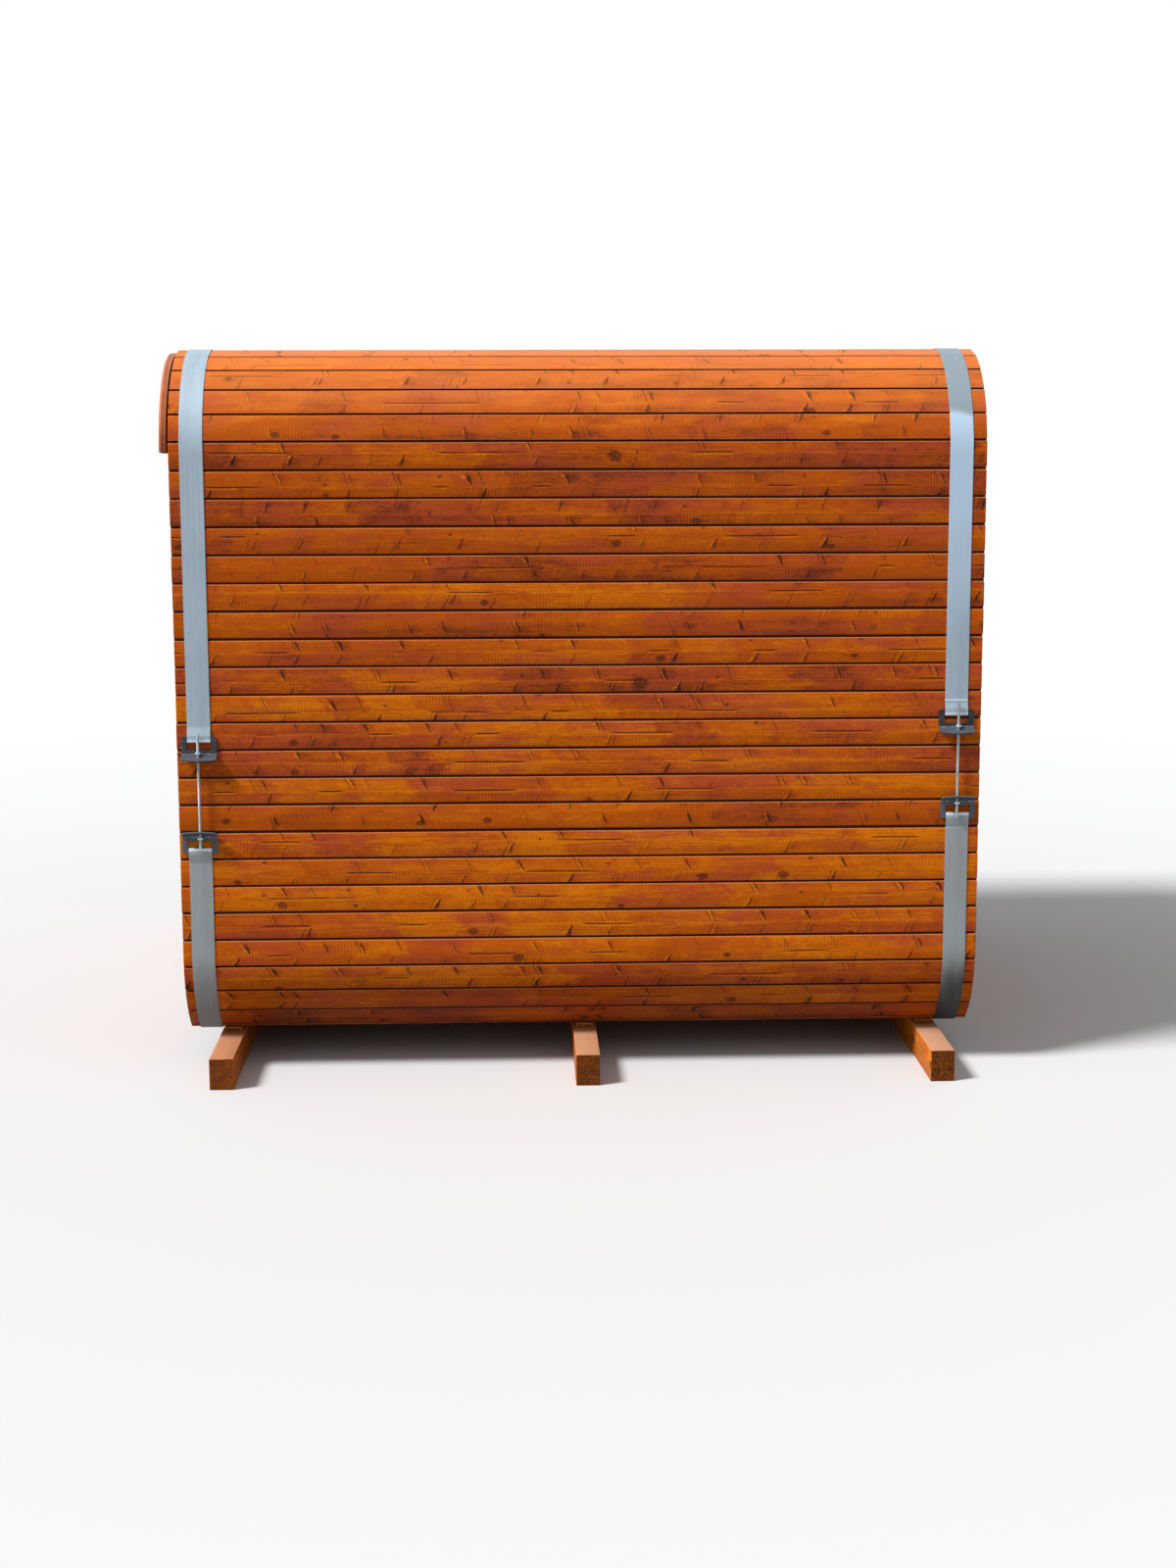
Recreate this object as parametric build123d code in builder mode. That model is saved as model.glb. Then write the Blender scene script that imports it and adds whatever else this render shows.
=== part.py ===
from build123d import *
import os
from math import ceil, cos, hypot, radians, sin, tan

# Sauna pod: a square shell of lying staves with rounded corners, on three cross bearers.
# Ground is Z = 0, the door end faces -X and the near long wall faces -Y.
# The origin is on the ground, under the middle of the whole pod.

# Staves of the shell. The corners turn in equal steps, one stave to a step.
stave_width = 90
stave_thickness = 42
stave_play = 0.3
wall_staves = 19
roof_staves = 19
corner_staves = 5
lower_corner_staves = 3
sole_stave_width = 27
shell_length = 2624

# Timber under the shell
bearer_width = 78
bearer_height = 104
bearer_overhang = 195
bearer_inset = 140
middle_bearer_shift = 14
packer_width = 56
packer_height = 16
packer_setback = 139

# End walls, let in between the staves
end_wall_thickness = 40
end_wall_setback = 55
end_wall_play = 0.3

# Doorway, its lining and the door leaf
doorway_width = 760
doorway_height = 1960
over_door_least = 60
lining_thickness = 35
lining_proud = 10
threshold_height = 30
joinery_play = 0.3
leaf_thickness = 42
leaf_gap = 3
leaf_bottom_gap = 8
stile_width = 95
top_rail_height = 95
bottom_rail_height = 160
glass_thickness = 8

# Door furniture
hinge_count = 3
hinge_height = 90
hinge_plate_width = 60
hinge_plate_thickness = 2.5
hinge_barrel_radius = 6
hinge_end_distance = 220
handle_length = 400
handle_radius = 14
handle_reach = 50
handle_post_radius = 8
handle_post_spacing = 280
handle_centre_height = 1000

# Curved trim board on the front ends of the upper staves
trim_thickness = 30
trim_width = 110
trim_inset = 8
trim_sweep = 88

# Steel straps round the shell
strap_width = 75
strap_thickness = 2
strap_play = 0.3
front_strap_inset = 73
rear_strap_inset = 83
front_lower_shift = -5
rear_lower_shift = 10

# Clamp plates that the straps hook into, with a flange leaning towards the rod's middle
plate_width = 115
plate_height = 58
plate_thickness = 4
window_width = 80
window_height = 25
end_bar_height = 18
flange_length = 36
flange_lean = 28
hook_ramp = 30
hook_step = 2
hook_tail = 14

# Threaded rods and nuts
rod_radius = 5
rod_hole_radius = 6
rod_up = 202
rod_down = 175
nut_across_flats = 17
nut_height = 8
front_tensioner_height = 935
rear_tensioner_height = 1020
front_tensioner_gap = 237
rear_tensioner_gap = 211


def save(piece, name):
    """Name the finished piece and write it as a STEP file."""
    piece.part.label = name
    export_step(piece.part, f"parts/{name}.step")


def stave_walk(start, widths, direction):
    """Outer corners met when the staves turn inward from an upright wall, step by step."""
    y, z = start
    corners = []
    for step, width in enumerate(widths, start=1):
        tilt = radians(turn * step)
        y += width * sin(tilt)
        z += direction * width * cos(tilt)
        corners.append((y, z))
    return corners


def inset(outline, distance):
    """The closed outline with every side moved inward by the distance, or outward if negative."""
    moved = []
    for before, here, after in zip(outline[-1:] + outline[:-1], outline, outline[1:] + outline[:1]):
        normals = []
        for (y0, z0), (y1, z1) in ((before, here), (here, after)):
            length = hypot(y1 - y0, z1 - z0)
            normals.append(((z1 - z0) / length, (y0 - y1) / length))
        (ay, az), (by, bz) = normals
        scale = distance / (1 + ay * by + az * bz)
        moved.append((here[0] + scale * (ay + by), here[1] + scale * (az + bz)))
    return moved


def stave_section(facet):
    """Section of the stave, or of the flat run of staves, on one side of the shell's outline."""
    outer_a, outer_b = Vector(shell_outer[facet]), Vector(shell_outer[(facet + 1) % corner_count])
    inner_a, inner_b = Vector(shell_inner[facet]), Vector(shell_inner[(facet + 1) % corner_count])
    slip = (outer_b - outer_a).normalized() * (stave_play / 2)
    return [outer_a + slip, outer_b - slip, inner_b - slip, inner_a + slip]


os.makedirs("parts", exist_ok=True)

# Outline of the shell in the YZ plane, from the near sole up over the roof to the far sole
corner_turns = corner_staves + 1
turn = 90 / corner_turns
underside = bearer_height + packer_height
floor_top = underside + stave_thickness
lower_widths = [stave_width] * lower_corner_staves + [sole_stave_width]
lower_walk = stave_walk((0, 0), lower_widths, -1)
upper_walk = stave_walk((0, 0), [stave_width] * corner_staves, 1)
corner_reach, corner_rise = upper_walk[-1]
half_width = roof_staves * stave_width / 2 + corner_reach
wall_base = underside - lower_walk[-1][1]

# The walls take more staves where the doorway would come too near the roof
least_wall_top = floor_top + doorway_height + over_door_least + stave_thickness - corner_rise
added_staves = max(0, ceil((least_wall_top - wall_base) / stave_width) - wall_staves)
wall_top = wall_base + (wall_staves + added_staves) * stave_width
roof_top = wall_top + corner_rise

# Corners of the outline, in order, on the outer and the inner face of the staves
near_side = [(y - half_width, z + wall_base) for y, z in reversed(lower_walk)]
near_side += [(-half_width, wall_base), (-half_width, wall_top)]
near_side += [(y - half_width, z + wall_top) for y, z in upper_walk]
far_side = [(-y, z) for y, z in reversed(near_side)]
shell_outer = near_side + far_side
shell_inner = inset(shell_outer, stave_thickness)
corner_count = len(shell_outer)

# Places along X
pod_length = shell_length + trim_thickness
shell_front = trim_thickness - pod_length / 2
shell_rear = shell_front + shell_length
front_wall_face = shell_front + end_wall_setback
back_wall_face = shell_rear - end_wall_setback - end_wall_thickness

# Shell: two walls, roof and floor as flat runs of staves, and four corners of single staves
lower_count = len(lower_widths)
near_wall_facet = lower_count
roof_facet = near_wall_facet + corner_turns
far_wall_facet = roof_facet + corner_turns
floor_facet = corner_count - 1
shell_pieces = {
    "near_lower_corner": range(near_wall_facet),
    "near_wall": [near_wall_facet],
    "near_upper_corner": range(near_wall_facet + 1, roof_facet),
    "roof": [roof_facet],
    "far_upper_corner": range(roof_facet + 1, far_wall_facet),
    "far_wall": [far_wall_facet],
    "far_lower_corner": range(far_wall_facet + 1, floor_facet),
    "floor": [floor_facet],
}
for name, facets in shell_pieces.items():
    with BuildPart() as shell_piece:
        with BuildSketch(Plane.YZ.offset(shell_front)):
            for facet in facets:
                Polygon(*stave_section(facet), align=None)
        extrude(amount=shell_length)
    save(shell_piece, name)

# Front end wall: one piece each side of the doorway and one above it
end_outline = inset(shell_outer, stave_thickness + end_wall_play)
doorway_top = floor_top + doorway_height
roof_inner = roof_top - stave_thickness
for name, side in (("front_wall_near", -1), ("front_wall_far", 1)):
    keep = (Align.MAX if side < 0 else Align.MIN, Align.MIN)
    with BuildPart() as front_wall:
        with BuildSketch(Plane.YZ.offset(front_wall_face)):
            Polygon(*end_outline, align=None)
            with Locations((side * doorway_width / 2, 0)):
                Rectangle(half_width, roof_top, align=keep, mode=Mode.INTERSECT)
        extrude(amount=end_wall_thickness)
    save(front_wall, name)

with BuildPart() as front_wall_over_door:
    with BuildSketch(Plane.YZ.offset(front_wall_face)):
        with Locations((0, doorway_top)):
            over_height = roof_inner - end_wall_play - doorway_top
            Rectangle(doorway_width - 2 * joinery_play, over_height, align=(Align.CENTER, Align.MIN))
    extrude(amount=end_wall_thickness)
save(front_wall_over_door, "front_wall_over_door")

# Rear end wall
with BuildPart() as back_wall:
    with BuildSketch(Plane.YZ.offset(back_wall_face)):
        Polygon(*end_outline, align=None)
    extrude(amount=end_wall_thickness)
save(back_wall, "back_wall")

# Lining of the doorway, standing a little proud of the wall on both faces
lining_face = front_wall_face - lining_proud
lining_depth = end_wall_thickness + 2 * lining_proud
lining_half = doorway_width / 2 - joinery_play
jamb_inner = lining_half - lining_thickness
lining_base = floor_top + joinery_play
head_base = doorway_top - joinery_play - lining_thickness
with BuildPart() as door_jambs:
    with BuildSketch(Plane.YZ.offset(lining_face)):
        with Locations((-lining_half + lining_thickness / 2, lining_base)):
            Rectangle(lining_thickness, head_base - lining_base, align=(Align.CENTER, Align.MIN))
        with Locations((lining_half - lining_thickness / 2, lining_base)):
            Rectangle(lining_thickness, head_base - lining_base, align=(Align.CENTER, Align.MIN))
    extrude(amount=lining_depth)
save(door_jambs, "door_jambs")

with BuildPart() as door_head:
    with BuildSketch(Plane.YZ.offset(lining_face)):
        with Locations((0, head_base)):
            Rectangle(2 * lining_half, lining_thickness, align=(Align.CENTER, Align.MIN))
    extrude(amount=lining_depth)
save(door_head, "door_head")

with BuildPart() as door_threshold:
    with BuildSketch(Plane.YZ.offset(lining_face)):
        with Locations((0, lining_base)):
            Rectangle(2 * jamb_inner, threshold_height, align=(Align.CENTER, Align.MIN))
    extrude(amount=lining_depth)
save(door_threshold, "door_threshold")

# Door leaf, closed and flush with the lining outside: stiles, rails and one pane
leaf_half = jamb_inner - leaf_gap
leaf_base = lining_base + threshold_height + leaf_bottom_gap
leaf_top = head_base - leaf_gap
pane_half = leaf_half - stile_width
pane_base = leaf_base + bottom_rail_height
pane_top = leaf_top - top_rail_height
with BuildPart() as door_stiles:
    with BuildSketch(Plane.YZ.offset(lining_face)):
        with Locations((-leaf_half + stile_width / 2, leaf_base), (leaf_half - stile_width / 2, leaf_base)):
            Rectangle(stile_width, leaf_top - leaf_base, align=(Align.CENTER, Align.MIN))
    extrude(amount=leaf_thickness)
save(door_stiles, "door_stiles")

with BuildPart() as door_rails:
    with BuildSketch(Plane.YZ.offset(lining_face)):
        with Locations((0, leaf_base)):
            Rectangle(2 * pane_half, bottom_rail_height, align=(Align.CENTER, Align.MIN))
        with Locations((0, pane_top)):
            Rectangle(2 * pane_half, top_rail_height, align=(Align.CENTER, Align.MIN))
    extrude(amount=leaf_thickness)
save(door_rails, "door_rails")

with BuildPart() as door_glass:
    with BuildSketch(Plane.YZ.offset(lining_face + (leaf_thickness - glass_thickness) / 2)):
        with Locations((0, (pane_base + pane_top) / 2)):
            Rectangle(2 * (pane_half - joinery_play), pane_top - pane_base - 2 * joinery_play)
    extrude(amount=glass_thickness)
save(door_glass, "door_glass")

# Hinges on the far stile: a plate over the gap with its barrel in front
hinge_back = lining_face - joinery_play
hinge_line = leaf_half + leaf_gap / 2
hinge_first = leaf_base + hinge_end_distance
hinge_step = (leaf_top - leaf_base - 2 * hinge_end_distance) / (hinge_count - 1)
hinge_centres = [(hinge_line, hinge_first + place * hinge_step) for place in range(hinge_count)]
with BuildPart() as door_hinges:
    with BuildSketch(Plane.YZ.offset(hinge_back - hinge_plate_thickness)):
        with Locations(*hinge_centres):
            Rectangle(hinge_plate_width, hinge_height)
    extrude(amount=hinge_plate_thickness)
    for y, z in hinge_centres:
        with Locations((hinge_back - hinge_barrel_radius, y, z)):
            Cylinder(hinge_barrel_radius, hinge_height)
save(door_hinges, "door_hinges")

# Bar handles on the near stile, one outside and one inside, each on two posts
handle_y = -(leaf_half - stile_width / 2)
handle_z = floor_top + handle_centre_height
leaf_back = lining_face + leaf_thickness
with BuildPart() as door_handle:
    for face, way in ((lining_face, -1), (leaf_back, 1)):
        for end in (-1, 1):
            post_foot = (face + way * joinery_play, handle_y, handle_z + end * handle_post_spacing / 2)
            with BuildSketch(Plane(post_foot, x_dir=(0, 1, 0), z_dir=(way, 0, 0))):
                Circle(handle_post_radius)
            extrude(amount=handle_reach - joinery_play)
        with Locations((face + way * handle_reach, handle_y, handle_z)):
            Cylinder(handle_radius + joinery_play, 2 * handle_length, mode=Mode.SUBTRACT)
            Cylinder(handle_radius, handle_length)
save(door_handle, "door_handle")

# Trim board on the stave ends: a quarter bow over each upper corner, a straight length between
bow_radius = corner_reach + stave_width / 2 - trim_inset
bow_y = roof_staves * stave_width / 2 - stave_width / 2
bow_z = wall_top - stave_width / 2
trim_face = shell_front - trim_thickness
for name, start in (("trim_near_corner", 90), ("trim_far_corner", 90 - trim_sweep)):
    centre = (-bow_y if start == 90 else bow_y, bow_z)
    with BuildPart() as trim_corner:
        with BuildSketch(Plane.YZ.offset(trim_face)):
            with BuildLine():
                outside = CenterArc(centre, bow_radius, start, trim_sweep)
                inside = CenterArc(centre, bow_radius - trim_width, start, trim_sweep)
                Line(outside @ 0, inside @ 0)
                Line(outside @ 1, inside @ 1)
            make_face()
        extrude(amount=trim_thickness)
    save(trim_corner, name)

with BuildPart() as trim_top:
    with BuildSketch(Plane.YZ.offset(trim_face)):
        with Locations((0, bow_z + bow_radius)):
            Rectangle(2 * bow_y, trim_width, align=(Align.CENTER, Align.MAX))
    extrude(amount=trim_thickness)
save(trim_top, "trim_top")

# Bearers across the pod, and packers that lift the shell clear of them for the straps
bearer_length = 2 * (half_width + bearer_overhang)
packer_length = 2 * (half_width - packer_setback)
bearer_places = {
    "bearer_front": shell_front + bearer_inset,
    "bearer_middle": (shell_front + shell_rear) / 2 + middle_bearer_shift,
    "bearer_rear": shell_rear - bearer_inset,
}
for name, x in bearer_places.items():
    with BuildPart() as bearer:
        with BuildSketch(Plane.XY):
            with Locations((x, 0)):
                Rectangle(bearer_width, bearer_length)
        extrude(amount=bearer_height)
    save(bearer, name)

with BuildPart() as packers:
    with BuildSketch(Plane.XY.offset(bearer_height)):
        with Locations(*[(x, 0) for x in bearer_places.values()]):
            Rectangle(packer_width, packer_length)
    extrude(amount=packer_height)
save(packers, "packers")

# Tensioners. A section is drawn as (out, along): out from the wall's face, and along from the
# tensioner's middle towards the strap. It is placed on the near or far wall, upward or downward.
plate_out = strap_play + strap_thickness + strap_play
front_out = plate_out + plate_thickness + strap_play
lean = radians(flange_lean)


def on_wall(points, side, way, height):
    """The (out, along) points as (y, z), on side -1 or 1, upward (1) or downward (-1)."""
    return [(side * (half_width + out), height + way * along) for out, along in points]


def plate_section(bend):
    """Section of a clamp plate whose flange leaves the wall at the bend."""
    end = bend + plate_height
    reach = flange_length * cos(lean)
    drop = flange_length * sin(lean)
    crook = plate_thickness * (cos(lean) - (1 - sin(lean)) * tan(lean))
    return [
        (plate_out, end),
        (plate_out + plate_thickness, end),
        (plate_out + plate_thickness, bend + crook),
        (plate_out + reach + plate_thickness * sin(lean), bend - drop + plate_thickness * cos(lean)),
        (plate_out + reach, bend - drop),
        (plate_out, bend),
    ]


def hook_section(bend):
    """The strap's end from the wall, over the plate's end bar, through the window and behind it."""
    end = bend + plate_height
    bar = end - end_bar_height
    skin = strap_play
    back = strap_play + strap_thickness
    fold = bar - strap_play - strap_thickness
    return [
        (back, end + hook_ramp),
        (front_out + strap_thickness, end + hook_step),
        (front_out + strap_thickness, fold),
        (skin, fold),
        (skin, fold + hook_tail),
        (back, fold + hook_tail),
        (back, bar - strap_play),
        (front_out, bar - strap_play),
        (front_out, end + hook_step),
        (skin, end + hook_ramp),
    ]


# Straps: each follows the shell's outline from a near hook to a far one
strap_inner = inset(shell_outer, -strap_play)
strap_outer = inset(shell_outer, -strap_play - strap_thickness)
over_roof = list(range(near_wall_facet + 1, far_wall_facet + 1))
under_floor = [corner % corner_count for corner in range(near_wall_facet, far_wall_facet - corner_count, -1)]
flange_drop = flange_length * sin(lean)
bands = {
    "front": (shell_front + front_strap_inset, front_lower_shift, front_tensioner_height, front_tensioner_gap),
    "rear": (shell_rear - rear_strap_inset, rear_lower_shift, rear_tensioner_height, rear_tensioner_gap),
}
for end, (band_x, lower_shift, height, gap) in bands.items():
    rod_x = band_x + lower_shift / 2
    bend = gap / 2 + flange_drop
    rod_out = plate_out + flange_length * cos(lean) / 2
    face_out = rod_out - nut_across_flats / 2
    nut_base = bend + plate_thickness / cos(lean) - (face_out - plate_out) * tan(lean) + strap_play
    levels = {"upper": (1, band_x, over_roof), "lower": (-1, band_x + lower_shift, under_floor)}
    for level, (way, x, corners) in levels.items():
        near_hook = on_wall(hook_section(bend), -1, way, height)
        far_hook = on_wall(hook_section(bend), 1, way, height)
        section = near_hook + [strap_inner[corner] for corner in corners]
        section += list(reversed(far_hook)) + [strap_outer[corner] for corner in reversed(corners)]
        with BuildPart() as strap:
            with BuildSketch(Plane.YZ.offset(x - strap_width / 2)):
                Polygon(*section, align=None)
            extrude(amount=strap_width)
        save(strap, f"strap_{end}_{level}")

        for side_name, side in (("near", -1), ("far", 1)):
            window_z = height + way * (bend + plate_height - end_bar_height - window_height / 2)
            rod_y = side * (half_width + rod_out)
            with BuildPart() as clamp:
                with BuildSketch(Plane.YZ.offset(x - plate_width / 2)):
                    Polygon(*on_wall(plate_section(bend), side, way, height), align=None)
                extrude(amount=plate_width)
                with Locations((x, side * (half_width + plate_out), window_z)):
                    Box(window_width, 3 * plate_thickness, window_height, mode=Mode.SUBTRACT)
                with Locations((rod_x, rod_y, height + way * bend)):
                    Cylinder(rod_hole_radius, 2 * flange_length, mode=Mode.SUBTRACT)
            save(clamp, f"clamp_{side_name}_{end}_{level}")

    for side_name, side in (("near", -1), ("far", 1)):
        rod_y = side * (half_width + rod_out)
        with BuildPart() as rod:
            with BuildSketch(Plane.XY.offset(height - rod_down)):
                with Locations((rod_x, rod_y)):
                    Circle(rod_radius)
            extrude(amount=rod_down + rod_up)
            for nut_z in (height + nut_base, height - nut_base - nut_height):
                with BuildSketch(Plane.XY.offset(nut_z)):
                    with Locations((rod_x, rod_y)):
                        RegularPolygon(nut_across_flats / 2, 6, major_radius=False)
                extrude(amount=nut_height)
        save(rod, f"rod_{side_name}_{end}")
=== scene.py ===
from math import ceil, cos, pi, radians, tan
import bmesh
import bpy
import numpy as np
from mathutils import Matrix, Vector


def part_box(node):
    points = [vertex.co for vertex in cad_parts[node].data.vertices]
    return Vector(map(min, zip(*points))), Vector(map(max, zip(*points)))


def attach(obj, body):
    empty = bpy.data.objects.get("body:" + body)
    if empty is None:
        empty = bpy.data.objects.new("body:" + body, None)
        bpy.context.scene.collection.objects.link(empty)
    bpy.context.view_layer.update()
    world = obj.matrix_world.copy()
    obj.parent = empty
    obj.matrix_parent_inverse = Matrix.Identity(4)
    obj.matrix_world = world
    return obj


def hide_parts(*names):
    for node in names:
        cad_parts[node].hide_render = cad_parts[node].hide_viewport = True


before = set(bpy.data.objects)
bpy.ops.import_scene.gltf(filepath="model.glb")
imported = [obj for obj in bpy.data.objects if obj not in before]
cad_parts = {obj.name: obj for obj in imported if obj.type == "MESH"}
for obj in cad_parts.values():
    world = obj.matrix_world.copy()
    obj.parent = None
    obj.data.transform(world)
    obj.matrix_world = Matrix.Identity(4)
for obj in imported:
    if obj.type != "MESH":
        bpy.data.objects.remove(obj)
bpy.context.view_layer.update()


# Bearers: three lengths of planed softwood that lie across the pod and carry it on the ground.
# They are stained like the shell but rougher, sawn square at both ends, with eased arrises.
# Packers of the same timber lie along them and lift the shell clear, so the straps can pass.

class Signal:
    """One output of a finish's node tree. A sum on it adds the Math or Vector Math node for it."""

    def __init__(self, tree, socket=None):
        self.tree = tree
        self.socket = socket

    def add(self, kind, inputs=(), out=0, **settings):
        """A node of the kind with its settings made and its inputs fed, as one of its outputs."""
        node = self.tree.nodes.new("ShaderNode" + kind)
        for name, value in settings.items():
            setattr(node, name, value)
        feed(node, inputs)
        return Signal(self.tree, node.outputs[out])

    def twin(self, out):
        """Another output of the same node."""
        return Signal(self.tree, self.socket.node.outputs[out])

    def split(self):
        """The three parts of a vector or colour."""
        parts = self.add("SeparateXYZ", {0: self})
        return parts, parts.twin("Y"), parts.twin("Z")

    def attribute(self, name, out="Vector"):
        """The mesh's own values of that name."""
        return self.add("Attribute", out=out, attribute_name=name)

    def position(self):
        """Place in metres: a piece's object sits at the origin, so Object coordinates are the frame's."""
        return self.add("TexCoord", out="Object")

    def upward(self):
        """How far the surface looks up, which is its normal's part along Z."""
        return self.add("NewGeometry", out="Normal").split()[2]

    def math(self, operation, *values):
        """A Math node's operation on this signal and further values."""
        return self.add("Math", enumerate((self, *values)), operation=operation)

    def larger(self, other):
        """The larger of this signal and another, as where one mark covers another."""
        return self.math("MAXIMUM", other)

    def __add__(self, other):
        return self.math("ADD", other)

    def __sub__(self, other):
        return self.math("SUBTRACT", other)

    def __rsub__(self, other):
        return self.add("Math", {0: other, 1: self}, operation="SUBTRACT")

    def __mul__(self, other):
        if isinstance(other, tuple):
            return self.add("VectorMath", {0: self, 1: other}, operation="MULTIPLY")
        return self.math("MULTIPLY", other)

    def __truediv__(self, other):
        return self.math("DIVIDE", other)

    def __pow__(self, other):
        return self.math("POWER", other)

    def __abs__(self):
        return self.math("ABSOLUTE")

    __radd__ = __add__
    __rmul__ = __mul__

    def step(self, low, high):
        """Smooth step: 0 at low, 1 at high. With low above high it falls instead of rising."""
        inputs = {"Value": self, "From Min": low, "From Max": high}
        return self.add("MapRange", inputs, interpolation_type="SMOOTHSTEP")

    def noise(self, scale, detail=2.0, roughness=0.5):
        """Cloudy value around a half, with the vector stretched by the scale along each axis."""
        inputs = {"Vector": self * scale, "Scale": 1.0, "Detail": detail, "Roughness": roughness}
        return self.add("TexNoise", inputs)

    def tint(self, first, second):
        """Mix of two colours, with this signal as the share of the second."""
        first, second = (shade if isinstance(shade, Signal) else (*shade, 1) for shade in (first, second))
        return self.add("Mix", {0: self, 6: first, 7: second}, out=2, data_type="RGBA")


def feed(node, inputs):
    """Feed inputs by name or place: a plain value is set on the input itself, a signal is linked."""
    for place, value in dict(inputs).items():
        if isinstance(value, Signal):
            value.tree.links.new(value.socket, node.inputs[place])
        else:
            node.inputs[place].default_value = value


def new_finish(name):
    """A finish with an empty start of its tree, and its shader node."""
    finish = bpy.data.materials.new(name)
    finish.use_nodes = True
    return finish, Signal(finish.node_tree), finish.node_tree.nodes["Principled BSDF"]


def stained_softwood(name, deep, warm, wined, golden, bleached, dark, shadow, worn, bare, roughness, fade):
    """Stained spruce sawn through the heart.

    The grain attribute is (along, across the heart line, depth) in metres. A growth ring is a step of
    the distance from the pith, sqrt(across^2 + (depth + pith depth)^2). Whorls of branches cross the
    heart line at places drawn along it and slant away from it on both sides, x = lean * |across|, as
    strokes that widen outwards, dark on one side and golden on the other. Round knots lie in cells of
    their own. The level of the stain runs from deep through warm, part of it wined, to golden. It
    changes from board to board, slowly along each and at each whorl. Painted light changes it too: it
    is painted more golden below about a metre as bounce light, darker at the very bottom as shade,
    lighter on faces turned partly up and darker on faces turned well up. Over it lie the marks, the
    faded upward faces, arrises worn pale where they face up, which is also a painted highlight,
    painted shade on the lip by each gap and in the gaps, and the sawn ends. Each crack has a painted
    highlight along one lip.
    """
    finish, start, shader = new_finish(name)
    grain = start.attribute("grain")
    along, across, depth = grain.split()
    tone, hue, kind = start.attribute("board").split()
    inside, sawn_end, edge = start.attribute("skin").split()
    height = start.position().split()[2]
    upward = start.upward()
    groove = edge.larger(0.0)
    arris = (edge * -1.0).larger(0.0).math("MINIMUM", 1.0)
    lip = (edge * -1.0 - 1.0).larger(0.0)
    off_heart = abs(across)
    side = across.math("SIGN")

    # Round knots: about one to a third of a metre of board, some of them no more than a pin
    cell_length, cell_width = 0.30, 0.085
    place = start.add("CombineXYZ", {0: along / cell_length, 1: across / cell_width, 2: tone * 31.0})
    cell = start.add("TexVoronoi", {"Vector": place, "Scale": 1.0, "Randomness": 0.9}, out="Position")
    spot_along, spot_across, _ = cell.split()
    chance, girth, force = cell.twin("Color").split()
    knot_dx = along - spot_along * cell_length
    knot_dy = across - spot_across * cell_width
    knot_size = girth ** 2.6 * 0.0085 + 0.0026
    ragged = (grain.noise((150.0, 210.0, 60.0)) - 0.5) * 0.9
    reach = (knot_dx * knot_dx * 0.5 + knot_dy * knot_dy).math("SQRT") / knot_size
    is_knot = chance.step(0.50, 0.52)
    knot_core = (reach + ragged).step(1.15, 0.45) * is_knot
    knot_rim = abs(reach + ragged * 0.5 - 1.10).step(0.34, 0.10) * is_knot * force.step(0.1, 0.5)
    knot_halo = reach.step(4.2, 0.6) * is_knot
    arc = grain.noise((60.0, 90.0, 60.0)).step(0.42, 0.62)
    curl = (reach * 3.0 + ragged * 5.0).math("SINE") * knot_halo * arc * force.step(0.35, 0.55)

    # Growth rings round a pith that wanders, bent aside by the knots
    ring_width = 0.0046
    drift = grain.noise((1.3, 7.0, 7.0), 3.0) - 0.5
    bent = across + drift * 0.020 + knot_dy * knot_halo * 0.8
    below = depth + kind * 0.035 + 0.006 + (grain.noise((0.9, 0.0, 0.0), 1.0) - 0.5) * 0.05
    late = ((bent * bent + below * below).math("SQRT") / ring_width).math("FRACT") ** 3.0

    # Clouds of all sizes, from a slow change along the board to its fibres
    slow = grain.noise((1.2, 5.0, 5.0))
    band = grain.noise((1.0, 38.0, 30.0))
    cloud = grain.noise((6.0, 20.0, 26.0), 3.0, 0.6)
    mottle = grain.noise((15.0, 32.0, 30.0), 4.0, 0.65)
    fleck = grain.noise((50.0, 170.0, 80.0), 2.0, 0.6)
    streak = grain.noise((3.6, 165.0, 60.0), 5.0, 0.75)
    fibre = grain.noise((16.0, 380.0, 90.0), 3.0, 0.7)

    # Whorls: a stroke on each side of the heart line, drawn by its own luck, and a thinner twin
    whorl_gap = 0.155
    lean = (kind - 0.4).math("SIGN") * (tone * 0.25 + 0.30)
    slant = along + off_heart * lean + side * (hue - 0.5) * 0.05
    whorl_place = slant / whorl_gap + tone * 57.0
    whorl = start.add("TexVoronoi", {"W": whorl_place, "Scale": 1.0}, out="W", voronoi_dimensions="1D")
    gilding, _, weight = whorl.twin("Color").split()
    whorl_side = start.add("CombineXYZ", {0: whorl * 9.0, 1: side * 4.0, 2: tone * 77.0})
    luck = whorl_side.noise((1.0, 1.0, 1.0), 0.0)
    second_luck = whorl_side.noise((1.7, 1.3, 2.1), 0.0)
    wobble = (grain.noise((34.0, 70.0, 50.0), 4.0, 0.7) - 0.5) * 0.018
    stroke_dx = (whorl_place - whorl) * whorl_gap + wobble
    width = off_heart * (weight * 0.17 + 0.035) + 0.0014
    span = off_heart.step(0.0, 0.010) * off_heart.step(0.050, 0.028) * luck.step(0.43, 0.58)
    stroke = abs(stroke_dx / width).step(1.4, 0.4) * span
    glint = grain.noise((70.0, 120.0, 60.0)).step(0.40, 0.60)
    golden_side = abs(stroke_dx / width + 1.9).step(1.4, 0.2) * span * glint * gilding.step(0.25, 0.75)
    halo = abs(stroke_dx - 0.012).step(0.034, 0.0) * span * off_heart.step(0.0, 0.03)
    twin_gap = (stroke_dx + second_luck * 0.030 - 0.004) / (width * 0.45 + 0.0006)
    twin = abs(twin_gap).step(1.5, 0.2) * off_heart.step(0.001, 0.006) * second_luck.step(0.46, 0.60)
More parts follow.
